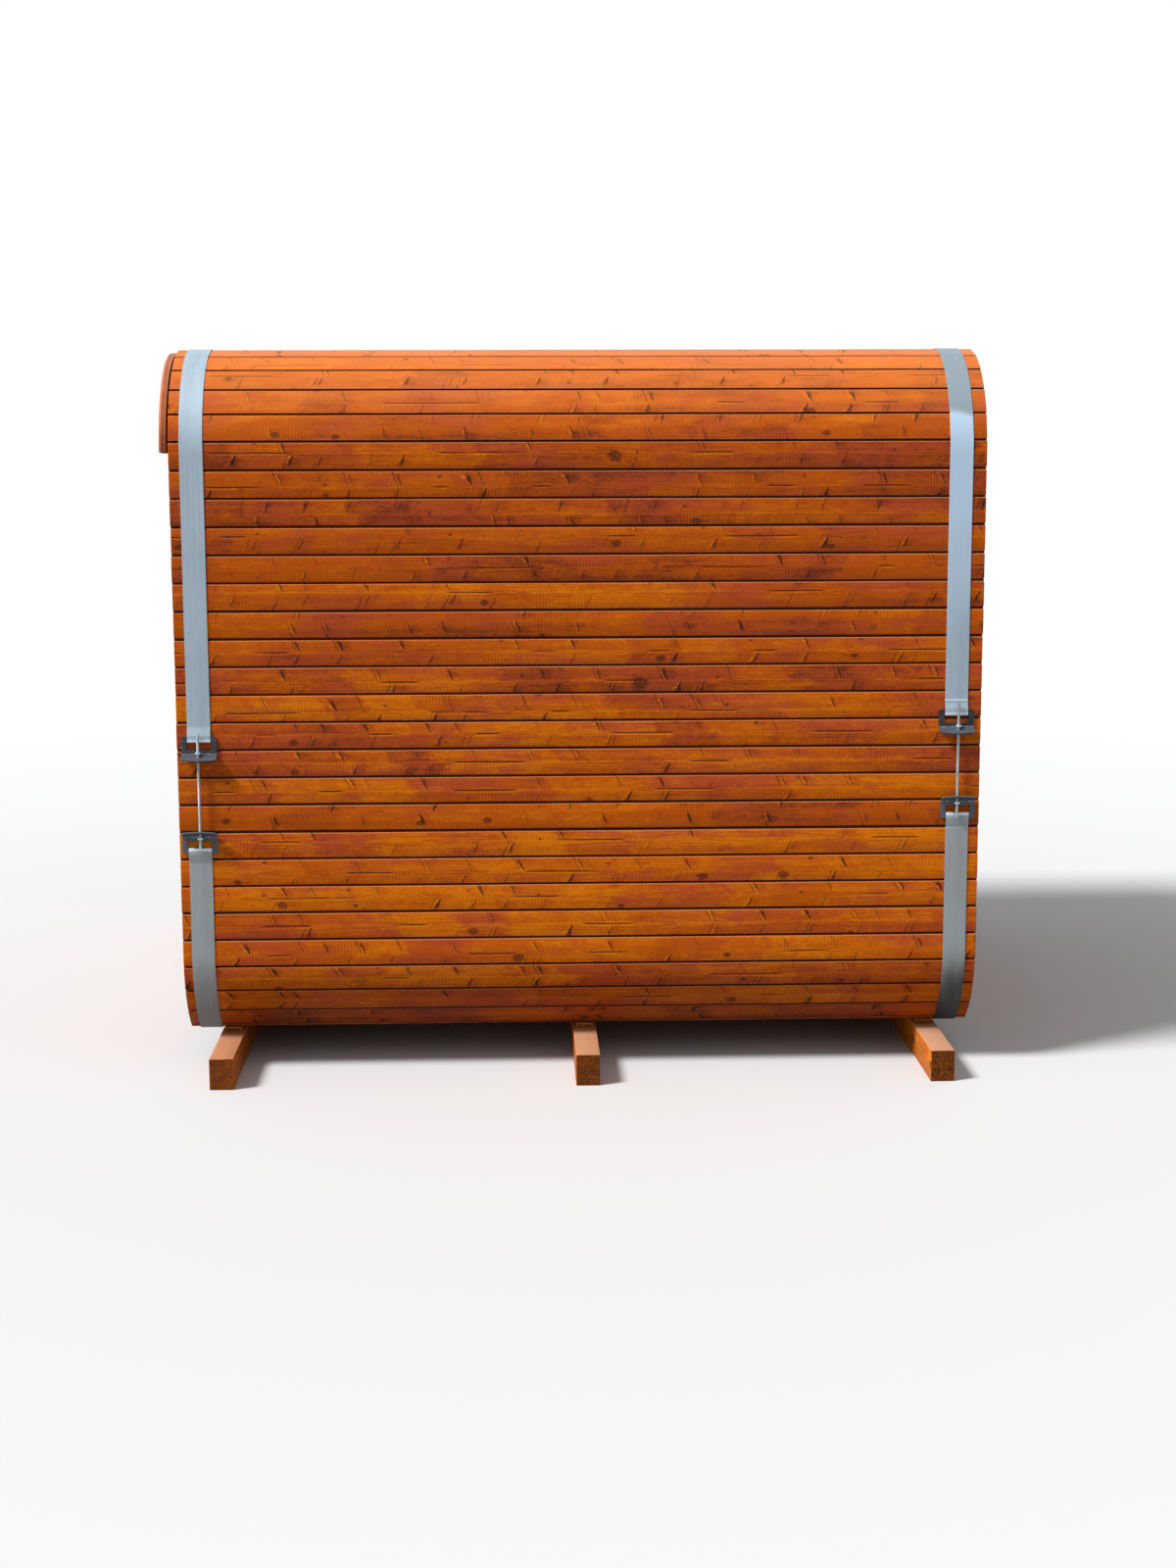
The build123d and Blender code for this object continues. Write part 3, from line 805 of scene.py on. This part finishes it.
handle_finish = stained_softwood(
    "handle_timber",
    deep=(0.36, 0.18, 0.080), warm=(0.52, 0.29, 0.135), wined=(0.50, 0.26, 0.125),
    golden=(0.66, 0.40, 0.195), bleached=(0.62, 0.40, 0.220), dark=(0.12, 0.045, 0.018),
    shadow=(0.03, 0.012, 0.006), worn=(0.66, 0.43, 0.230), bare=(0.62, 0.42, 0.230),
    roughness=0.42, fade=0.25)
handle_low, handle_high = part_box("door_handle")
bar_radius = 0.014
post_radius = 0.008
post_spacing = 0.280
post_ease = 0.0005
handle_play = 0.0003
bar_length = handle_high.z - handle_low.z
bar_y = (handle_low.y + handle_high.y) / 2
bar_z = (handle_low.z + handle_high.z) / 2
end_round = 0.007
ease = np.linspace(0, pi / 2, 5)
rounding = end_round * (1 - np.sin(ease))
bar_radii = bar_radius - np.append(rounding, rounding[::-1])
end_runs = end_round * (1 - np.cos(ease))
bar_runs = np.append(end_runs, bar_length - end_runs[::-1])
post_radii = [post_radius - post_ease, post_radius, post_radius, post_radius]
handle_parts = []
seeds = np.random.default_rng(41)
for face, bar_x in ((stile_low.x, handle_low.x + bar_radius), (stile_high.x, handle_high.x - bar_radius)):
    lengths = [revolved(bar_radii, bar_runs, (bar_x, bar_y, handle_low.z), (0, 0, 1), 24)]
    way = 1 if bar_x > face else -1
    reach = abs(bar_x - face)
    for end in (-1, 1):
        foot = (face + way * handle_play, bar_y, bar_z + end * post_spacing / 2)
        post_runs = [0, post_ease, reach * 0.5, reach - handle_play]
        lengths.append(revolved(post_radii, post_runs, foot, (way, 0, 0), 18))
    for points, faces in lengths:
        grain = points[:, [2, 1, 0]] - (0, bar_y, bar_x) + (seeds.random() * 30, 0.01, 0.02)
        handle_parts.append((points, faces, grain, *board_notes(seeds, faces, (0, 0, 0))))
build("door_handle_timber", handle_parts, handle_finish, "door_handle")


# Trim: a board cut to a quarter bow over each upper corner, with a straight length over the roof
# between them. It is fixed to the stave ends with a shadow gap, and its arrises are well rounded.

trim_finish = stained_softwood(
    "trim_stain",
    deep=(0.11, 0.026, 0.013), warm=(0.24, 0.056, 0.020), wined=(0.22, 0.060, 0.030),
    golden=(0.44, 0.120, 0.030), bleached=(0.50, 0.190, 0.090), dark=(0.040, 0.014, 0.009),
    shadow=(0.012, 0.005, 0.004), worn=(0.70, 0.28, 0.14), bare=(0.62, 0.42, 0.23),
    roughness=0.50, fade=0.40)
trim_arris = 0.0065
trim_sweep = radians(88)
top_low, top_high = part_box("trim_top")
trim_middle = np.array((top_low + top_high) / 2)
trim_width = top_high.z - top_low.z
trim_thickness = top_high.x - top_low.x
bow_y = top_high.y
bow_z = wall_top - stave_width / 2
bow_mean_radius = top_high.z - bow_z - trim_width / 2
shadow_gap = 0.005
rebate = 0.012
bow_stations = 40
top_stations = 14
top_shift = 9

# The section as (out from the middle line, towards the staves), rebated behind so that a gap shows
board_section = rounded_section(trim_width / 2, (trim_thickness - shadow_gap) / 2, trim_arris, steps=5)
board_section[:, 1] -= shadow_gap / 2
tongue_half = trim_width / 2 - rebate
board_back, tongue_back = trim_thickness / 2 - shadow_gap, trim_thickness / 2
tongue = [(tongue_half, board_back), (tongue_half, tongue_back), (-tongue_half, tongue_back),
          (-tongue_half, board_back)]
trim_section = np.concatenate([board_section[:5], tongue, board_section[5:]])
trim_strips = edge_strips([-1] * 4 + [1] * 5 + ([-1] * 4 + [0]) * 3)


def bow(side, seeds):
    """Quarter bow of the trim section: the place at angle t is the centre + mean radius * (cos t, sin t)."""
    first = pi / 2 if side < 0 else pi / 2 - trim_sweep
    angle = eased_run(first, first + trim_sweep, bow_stations, end_arris / bow_mean_radius)
    shrink = np.zeros(len(angle))
    shrink[[0, -1]] = end_arris
    radial = np.stack([np.zeros_like(angle), np.cos(angle), np.sin(angle)], axis=1)
    centre = np.array([trim_middle[0], side * bow_y, bow_z])
    points, faces = carried(trim_section, centre + bow_mean_radius * radial, radial, (1, 0, 0), shrink)
    away = points - centre
    swept = np.arctan2(away[:, 2], away[:, 1]) * bow_mean_radius
    across = np.hypot(away[:, 1], away[:, 2]) - bow_mean_radius
    grain = np.stack([swept + seeds.random() * 30, across, away[:, 0] + trim_thickness / 2], axis=1)
    return points, faces, grain, *board_notes(seeds, faces, trim_strips)


seeds = np.random.default_rng(61)
build("trim_near_bow", [bow(-1, seeds)], trim_finish, "trim_near_corner")
build("trim_far_bow", [bow(1, seeds)], trim_finish, "trim_far_corner")
span = np.linspace(top_low.y, top_high.y, top_stations)
places = trim_middle * (1, 0, 1) + span[:, None] * (0, 1, 0)
points, faces = carried(trim_section, places, (0, 0, 1), (1, 0, 0))
away = points - trim_middle
grain = np.stack([away[:, 1] + top_shift, away[:, 2], away[:, 0] + trim_thickness / 2], axis=1)
build("trim_top_board", [(points, faces, grain, *board_notes(seeds, faces, trim_strips))],
      trim_finish, "trim_top")


# Straps: flat galvanised steel, an upper and a lower length at each end of the pod. Each goes round
# the shell with a slight bend at every stave joint. Its ends are hooked over a clamp plate's bar,
# through the plate's window and back behind the plate.

strap_play = 0.0003
strap_thickness = 0.002
strap_arris = 0.0006
clamp_thickness = 0.004
clamp_height = 0.058
window_width = 0.080
window_height = 0.025
end_bar_height = 0.018
clamp_back = strap_play + strap_thickness + strap_play
strap_front = clamp_back + clamp_thickness + strap_play
hook_ramp = 0.030
hook_step = 0.002
hook_tail = 0.014
hook_radii = (0.0016, 0.0022, 0.012, 0.020)
ease_length = 0.045


def rounded_path(points, radii, steps=5):
    """Points of a path whose inner corners are arcs: tangent length = radius * tan(half the turn)."""
    made = [points[0]]
    for before, here, after, radius in zip(points[:-2], points[1:-1], points[2:], radii):
        coming, going = here - before, after - here
        coming, going = coming / np.linalg.norm(coming), going / np.linalg.norm(going)
        angle = np.arccos(np.clip(coming @ going, -1, 1))
        tangent = radius * tan(angle / 2)
        normal = going - coming * (coming @ going)
        normal /= max(np.linalg.norm(normal), 1e-9)
        centre = here - coming * tangent + normal * radius
        swing = np.linspace(0, angle, steps)[:, None]
        made.extend(centre + radius * (np.sin(swing) * coming - np.cos(swing) * normal))
    made.append(points[-1])
    return np.array(made)


def eased_sides(points):
    """The path with two more points on each long side, near its ends: the shading's sweep stops there."""
    made = [points[:1]]
    for start, stop in zip(points[:-1], points[1:]):
        length = np.linalg.norm(stop - start)
        step = (stop - start) / length * ease_length
        made.append(np.array([start + step, stop - step, stop] if length > 6 * ease_length else [stop]))
    return np.concatenate(made)


def galvanised():
    """Galvanised sheet: pale bluish zinc with faint lines and soft crystals, greyer low down.

    Painted shade darkens every strap towards its foot. The rear straps carry more painted light: a
    painted sky reflection makes them lighter and bluer up the wall, a painted darker reflection greys
    them over the corner and a painted shadow blackens their foot. Near the upper one's ends a creased
    look is painted as a light line with painted shade beside it. Each fold has a painted highlight
    line, each strap a few scuffs.
    """
    finish, start, shader = new_finish("galvanised_strap")
    grain = start.attribute("grain")
    from_end = grain.split()[2]
    lines = grain.noise((2.0, 260.0, 1.0), 3.0)
    mottle = grain.noise((26.0, 40.0, 1.0), 3.0, 0.6)
    smear = grain.noise((2.2, 9.0, 1.0))
    clouds = (lines * 0.4 + mottle * 0.2 + smear * 0.4).step(0.36, 0.64)
    length, _, rise = start.position().split()
    height = rise + (smear - 0.5) * 0.5
    corner = rise + (smear - 0.5) * 0.08
    rearward = length.step(0.0, 0.5)
    shade = clouds.tint((0.31, 0.39, 0.455), (0.385, 0.475, 0.55))
    shade = height.step(1.15, 0.75).tint(shade, clouds.tint((0.265, 0.285, 0.30), (0.33, 0.355, 0.37)))
    # Painted light on the rear straps: a painted sky reflection, lighter and bluer up the wall, then a
    # painted darker reflection over the upper corner
    painted_highlight_band = height.step(1.35, 1.90) * corner.step(2.17, 2.15) * rearward
    shade = painted_highlight_band.tint(shade, (0.455, 0.585, 0.735))
    shade = (corner.step(2.15, 2.18) * rearward * 0.9).tint(shade, (0.235, 0.29, 0.33))
    # Painted shade: every strap darker towards its foot, the rear ones most
    shade = (height.step(0.50, 0.05) * (rearward * 0.35 + 0.65)).tint(shade, (0.13, 0.135, 0.13))
    # Painted shadow: the rear straps nearly black at the very foot
    shade = (height.step(0.40, 0.16) * rearward * 0.85).tint(shade, (0.030, 0.032, 0.034))
    fold_place, crease_place, crease_shade_place = 0.024, 0.070, 0.063
    # Painted highlight: a light line across each strap at its fold
    shade = (abs(from_end - fold_place).step(0.007, 0.002) * 0.9).tint(shade, (0.70, 0.78, 0.84))
    # Painted creased look near the upper rear straps' ends: a painted highlight line with painted shade
    # beside it
    crease_gate = rearward * height.step(0.60, 1.20)
    crease_highlight = abs(from_end - crease_place).step(0.0040, 0.0010) * crease_gate
    crease_shade = abs(from_end - crease_shade_place).step(0.0045, 0.0010) * crease_gate
    shade = (crease_highlight * 0.8).tint(shade, (0.62, 0.71, 0.77))
    shade = (crease_shade * 0.5).tint(shade, (0.15, 0.19, 0.22))
    scuff = grain.noise((38.0, 60.0, 1.0), 3.0, 0.7).step(0.69, 0.74)
    shade = (scuff * 0.6).tint(shade, (0.52, 0.58, 0.61))
    bump = start.add("Bump", {"Height": lines, "Strength": 0.15, "Distance": 0.0002})
    feed(shader, {"Base Color": shade, "Roughness": (mottle - 0.5) * 0.2 + 0.60, "Normal": bump,
                  "Metallic": 0.35, "Specular IOR Level": 0.25})
    return finish


strap_finish = galvanised()
strap_line = inset(outline, -strap_play - strap_thickness / 2)
skin_out = strap_play + strap_thickness / 2
fold = clamp_height - end_bar_height - skin_out
hook_face = strap_front + strap_thickness / 2

# The hook as (out from the wall, up from the plate's bend), from its tail to where it joins the wall
hook = np.array([
    (skin_out, fold + hook_tail), (skin_out, fold), (hook_face, fold), (hook_face, clamp_height + hook_step),
    (skin_out, clamp_height + hook_ramp), (skin_out, clamp_height + 2 * hook_ramp)])
over_roof = list(range(near_facet + 1, far_facet + 1))
under_floor = [corner % len(outline) for corner in range(near_facet, far_facet - len(outline), -1)]
clamps = {}
for end in ("front", "rear"):
    for level, way, corners in (("upper", 1, over_roof), ("lower", -1, under_floor)):
        clamp_low, clamp_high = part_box(f"clamp_near_{end}_{level}")
        bend = clamp_high.z - clamp_height if way > 0 else clamp_low.z + clamp_height
        clamps[end, level] = ((clamp_low.x + clamp_high.x) / 2, bend, way, clamp_high.x - clamp_low.x)
        near_hook = np.stack([-half_width - hook[:, 0], bend + way * hook[:, 1]], axis=1)
        near_hook = rounded_path(near_hook, hook_radii)
        far_hook = (near_hook * (-1, 1))[::-1]
        sweep = eased_sides(np.concatenate([near_hook[-1:], strap_line[corners], far_hook[:1]]))
        yz = np.concatenate([near_hook[:-1], sweep, far_hook[1:]])
        run = np.append(0, np.cumsum(np.linalg.norm(np.diff(yz, axis=0), axis=1)))
        tangent = np.gradient(yz, axis=0)
        tangent /= np.linalg.norm(tangent, axis=1)[:, None]
        strap_low, strap_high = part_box(f"strap_{end}_{level}")
        middle, half = (strap_low.x + strap_high.x) / 2, (strap_high.x - strap_low.x) / 2
        places = np.concatenate([np.full((len(yz), 1), middle), yz], axis=1)
        out = np.stack([np.zeros(len(yz)), -tangent[:, 1], tangent[:, 0]], axis=1)
        section = rounded_section(half, strap_thickness / 2, strap_arris, steps=2)
        points, faces = carried(section, places, (1, 0, 0), out)
        from_end = np.minimum(run, run[-1] - run)
        along, to_end = (np.repeat(values, len(section)) for values in (run, from_end))
        grain = np.stack([along, points[:, 0] - middle, to_end], axis=1)
        build(f"strap_{end}_{level}_band", [(points, faces, grain)], strap_finish,
              f"strap_{end}_{level}")


# Clamp plates: 4 mm steel, painted dark grey, pressed with a window for the strap's hook and a
# flange that leans out for the rod. Corners are rounded, and the paint is worn at the edges. Bare
# steel along the bend is a painted highlight.

flange_length = 0.036
flange_lean = radians(28)
plate_corner = 0.007
bend_radius = 0.006
flange_bow = 0.004
clamp_ease = 0.0008
worn_side, worn_end = 0.006, 0.005
# Edges get worn paint; the bend gets a painted highlight, drawn as bare steel
edge_wear, bend_highlight = 0.45, 0.85

# Columns of the plate's grid: at its side edges, measured inwards, and across the window
side_columns = np.array([0, 0.002, 0.0045, 0.007, 0.011])
window_columns = np.array([-window_width / 2, -0.028, -0.014, 0, 0.014, 0.028, window_width / 2])


def clamp_paint():
    """Charcoal paint, dusty and painted lighter facing up and low down, worn bare at edge spots. The
    bare steel along the bend is a painted highlight.
    """
    finish, start, shader = new_finish("clamp_paint")
    wear_and_highlight = start.attribute("wear_and_highlight", "Fac")
    place = start.position()
    cloud = place.noise((70.0, 70.0, 70.0), 4.0, 0.6)
    patchy = place.noise((18.0, 18.0, 18.0)).step(0.35, 0.7)
    # Bare steel where the paint is worn at the edges, and as a painted highlight on the bend
    rub_and_highlight = (wear_and_highlight * 0.5 + cloud).step(0.84, 1.0)
    # Lighter facing up and on the low plates: partly dusty, partly painted light from above and a painted
    # sky reflection low down
    dust_and_painted_light = (start.upward().step(0.15, 0.85) * 0.6).larger(place.split()[2].step(1.15, 0.95) * 0.75)
    shade = patchy.tint((0.012, 0.014, 0.018), (0.038, 0.046, 0.060))
    shade = dust_and_painted_light.tint(shade, (0.10, 0.115, 0.140))
    shade = rub_and_highlight.tint(shade, (0.42, 0.42, 0.40))
    bump = start.add("Bump", {"Height": cloud, "Strength": 0.2, "Distance": 0.0002})
    feed(shader, {"Base Color": shade, "Roughness": cloud * 0.25 + 0.22, "Normal": bump,
                  "Metallic": rub_and_highlight * 0.8, "Specular IOR Level": 0.30})
    return finish


def clamp_sheet(width, x, side, bend, way):
    """Middle surface of a clamp plate on a grid of (u across, v along the bent path).

    On the plate P = (u, out, v). Past the bend the path turns out through an arc and runs straight.
    Near each end the half width falls by r - sqrt(r^2 - (r - d)^2), which rounds the corners. The
    flange's free edge is bowed by the rod's pull, in proportion to the square of u.
    """
    half = width / 2
    edge = half - side_columns
    u = np.concatenate([-edge, window_columns, edge[::-1]])
    bar, sill = clamp_height - end_bar_height, clamp_height - end_bar_height - window_height
    round_off = plate_corner * (1 - np.cos(np.linspace(0, pi / 2, 6)))
    swing = pi / 2 - flange_lean
    arc = np.linspace(0, swing, 7)
    path_out = bend_radius * (1 - np.cos(arc))
    path_along = bend_radius * tan(swing / 2) - bend_radius * np.sin(arc)
    flat = np.concatenate([clamp_height - round_off, [bar, sill + window_height / 2, sill]])
    straight = flange_length - bend_radius * tan(swing / 2)
    flange = np.append(straight * 0.35, straight - round_off[::-1])
    out = np.concatenate([np.zeros(len(flat)), path_out, path_out[-1] + flange * np.sin(swing)])
    along = np.concatenate([flat, path_along, path_along[-1] - flange * np.cos(swing)])
    to_end = np.concatenate([clamp_height - flat, np.full(len(arc), 1.0), straight - flange])
    short = plate_corner - np.sqrt(plate_corner**2 - np.clip(plate_corner - to_end, 0, plate_corner) ** 2)
    spread = u[None] * np.where(np.abs(u) > window_width / 2, (half - short[:, None]) / half, 1.0)
    past = np.concatenate([np.zeros(len(flat) + len(arc)), flange / straight])[:, None]
    bowed = flange_bow * past * ((spread / half) ** 2 - 0.6)
    middle_out = half_width + clamp_back + clamp_thickness / 2
    y = side * np.broadcast_to(middle_out + out[:, None], spread.shape)
    z = bend + way * (along[:, None] + bowed)
    points = np.stack([x + spread, y, z], axis=2)
    centre_u = (u[:-1] + u[1:]) / 2
    centre_v = (along[:-1] + along[1:]) / 2
    in_window = (centre_v < bar) & (centre_v > sill) & (np.arange(len(centre_v)) < len(flat) - 1)
    hole = (np.abs(centre_u) < window_width / 2)[None] & in_window[:, None]
    quads = grid_quads(len(out), len(u), closed=False)
    near_edge = (np.abs(u) > half - worn_side)[None] | (to_end < worn_end)[:, None]
    # The rows of the bend carry the painted highlight
    on_bend = np.isin(np.arange(len(out)), len(flat) + np.array([2, 3, 4]))[:, None]
    wear_and_highlight = np.maximum(near_edge * edge_wear, on_bend * bend_highlight)
    return points.reshape(-1, 3), quads[~hole].tolist(), wear_and_highlight.reshape(-1)


clamp_finish = clamp_paint()
for (end, level), (x, bend, way, width) in clamps.items():
    for side_name, side in (("near", -1), ("far", 1)):
        name = f"clamp_{side_name}_{end}_{level}"
        points, faces, wear_and_highlight = clamp_sheet(width, x, side, bend, way)
        if side * way > 0:
            faces = [face[::-1] for face in faces]
        mesh = bpy.data.meshes.new(name + "_plate")
        mesh.from_pydata(points.tolist(), [], faces)
        mesh.attributes.new("wear_and_highlight", "FLOAT", "POINT").data.foreach_set("value", wear_and_highlight.astype(np.float32))
        mesh.materials.append(clamp_finish)
        mesh.shade_smooth()
        plate = put(name + "_plate", mesh)
        thicken = plate.modifiers.new("thickness", "SOLIDIFY")
        thicken.thickness, thicken.offset, thicken.use_even_offset = clamp_thickness, 0, True
        ease_edges = plate.modifiers.new("eased", "BEVEL")
        ease_edges.width, ease_edges.segments, ease_edges.angle_limit = clamp_ease, 2, radians(50)
        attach(plate, "root")
        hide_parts(name)


# Rods: zinc-plated threaded rod through both flanges of a tensioner, with a nut on the plate's
# side of each flange that draws the two straps together.

rod_radius = 0.005
thread_pitch = 0.0015
thread_depth = 0.0008
nut_flats = 0.017
nut_height = 0.008
nut_bore = 0.0056
rod_sides, nut_sides = 12, 48
rod_finish = steel("zinc_rod", (0.34, 0.41, 0.45), (0.50, 0.58, 0.61), 0.36, 0.75, (60, 60, 20))


def upright(foot, radius, angle, run):
    """Closed tube round a line up from the foot: P(i, j) = foot + (radius cos, radius sin, run_i)."""
    x, y = foot[0] + radius * np.cos(angle), foot[1] + radius * np.sin(angle)
    points = np.stack(np.broadcast_arrays(x, y, foot[2] + run[:, None]), axis=2)
    return points.reshape(-1, 3), grid_faces(len(run), len(angle))


def threaded(foot, length):
    """Threaded rod: radius = full - depth * |2 frac(run / pitch - turn) - 1|, so the crest is a helix."""
    run = np.arange(0, length, thread_pitch / 4)
    run = np.append(run[run < length - hair], length)
    turns = np.arange(rod_sides) / rod_sides
    wave = np.abs(2 * np.mod(run[:, None] / thread_pitch - turns[None], 1) - 1)
    radius = rod_radius - thread_depth * wave
    radius[[0, -1]] = rod_radius - 1.5 * thread_depth
    return upright(foot, radius, 2 * pi * turns, run)


def nut(foot):
    """Hexagon nut: radius = flats / 2 / cos(angle to the nearest flat), held under a cone at both rims."""
    angle = 2 * pi * np.arange(nut_sides) / nut_sides
    to_flat = np.mod(angle + pi / 6, pi / 3) - pi / 6
    hexagon = nut_flats / 2 / np.cos(to_flat)
    rise = np.array([0, 0, 0.0006, 0.0014])
    cone = np.array([nut_bore, nut_flats / 2 - 0.0004, nut_flats / 2 + 0.0006, 1])
    run = np.append(rise, nut_height - rise[::-1])
    radius = np.minimum(hexagon[None], np.append(cone, cone[::-1])[:, None])
    return upright(foot, radius, angle, run)


for end in ("front", "rear"):
    for side_name in ("near", "far"):
        name = f"rod_{side_name}_{end}"
        low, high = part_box(name)
        x, y = (low.x + high.x) / 2, (low.y + high.y) / 2
        parts = [threaded((x, y, low.z), high.z - low.z)]
        for level in ("upper", "lower"):
            _, bend, way, _ = clamps[end, level]
            from_plate = abs(y) - nut_flats / 2 - half_width - clamp_back
            seat = clamp_thickness / cos(flange_lean) - from_plate * tan(flange_lean) + strap_play
            base = bend + seat if way > 0 else bend - seat - nut_height
            parts.append(nut((x, y, base)))
        build(name + "_thread", parts, rod_finish, name)


# Setting: a pale floor that fades into white, a soft key light high on the left and an even sky.

def seen_or_mirrored(start):
    """1 for rays from the camera, by reflection and through glass too, and 0 for the object's light."""
    rays = start.add("LightPath", out="Is Camera Ray")
    return rays.larger(rays.twin("Is Glossy Ray")).larger(rays.twin("Is Transmission Ray"))


# The floor throws little light back on the pod, and further out the eye sees white
floor_finish, start, shader = new_finish("pale_floor")
place = start.position()
distance = start.add("VectorMath", {0: place}, out="Value", operation="LENGTH")
seen = seen_or_mirrored(start)
floor_colour = seen.tint((0.22, 0.22, 0.22), (0.60, 0.60, 0.60))
feed(shader, {"Base Color": floor_colour, "Roughness": 0.9, "Specular IOR Level": 0.1})
white = start.add("Emission", {"Color": (1, 1, 1, 1), "Strength": 1.0})
body = Signal(start.tree, shader.outputs[0])
mixed = start.add("MixShader", {0: distance.step(2.5, 9.0) * seen, 1: body, 2: white})
feed(start.tree.nodes["Material Output"], {"Surface": mixed})

# A flat disc of rings: its inner ring is closed by a face, and its outer one is left open
rings = np.array([0.5, 2.0, 5.0, 12.0, 40.0, 120.0])[:, None]
floor_sides = 64
angle = 2 * pi * np.arange(floor_sides) / floor_sides
disc = np.stack(np.broadcast_arrays(rings * np.cos(angle), rings * np.sin(angle), 0.0), axis=2)
floor_mesh = bpy.data.meshes.new("studio_floor")
floor_mesh.from_pydata(disc.reshape(-1, 3).tolist(), [], grid_faces(len(rings), floor_sides)[:-1])
floor_mesh.materials.append(floor_finish)
studio_floor = put("studio_floor", floor_mesh)

world = bpy.data.worlds.new("studio_sky")
bpy.context.scene.world = world
world.use_nodes = True
sky = Signal(world.node_tree)
backdrop = sky.add("Background", {"Color": (1, 1, 1, 1), "Strength": 1.0})
soft = sky.add("Background", {"Color": (0.96, 0.98, 1.0, 1), "Strength": 0.50})
mixed = sky.add("MixShader", {0: seen_or_mirrored(sky), 1: soft, 2: backdrop})
feed(world.node_tree.nodes["World Output"], {"Surface": mixed})

key_data = bpy.data.lights.new("key", "SUN")
key_data.energy = 4.4
key_data.angle = radians(14)
key = put("key", key_data)
key.rotation_mode = "QUATERNION"
key.rotation_quaternion = Vector((0.60, 0.26, -0.76)).to_track_quat("-Z", "Y")

camera_place = (-0.2107, -8.5175, 2.1055)
camera_pitch = radians(8.819)
camera_yaw = radians(1.93)
camera_roll = radians(0.162)
camera_data = bpy.data.cameras.new("camera")
camera_data.sensor_width = 36
camera_data.lens = 52.35
camera = put("camera", camera_data)
turned = Matrix.Rotation(-camera_yaw, 4, "Z") @ Matrix.Rotation(pi / 2 - camera_pitch, 4, "X")
camera.matrix_world = Matrix.Translation(camera_place) @ turned @ Matrix.Rotation(-camera_roll, 4, "Z")
bpy.context.scene.camera = camera
bpy.context.scene.view_settings.view_transform = "Standard"
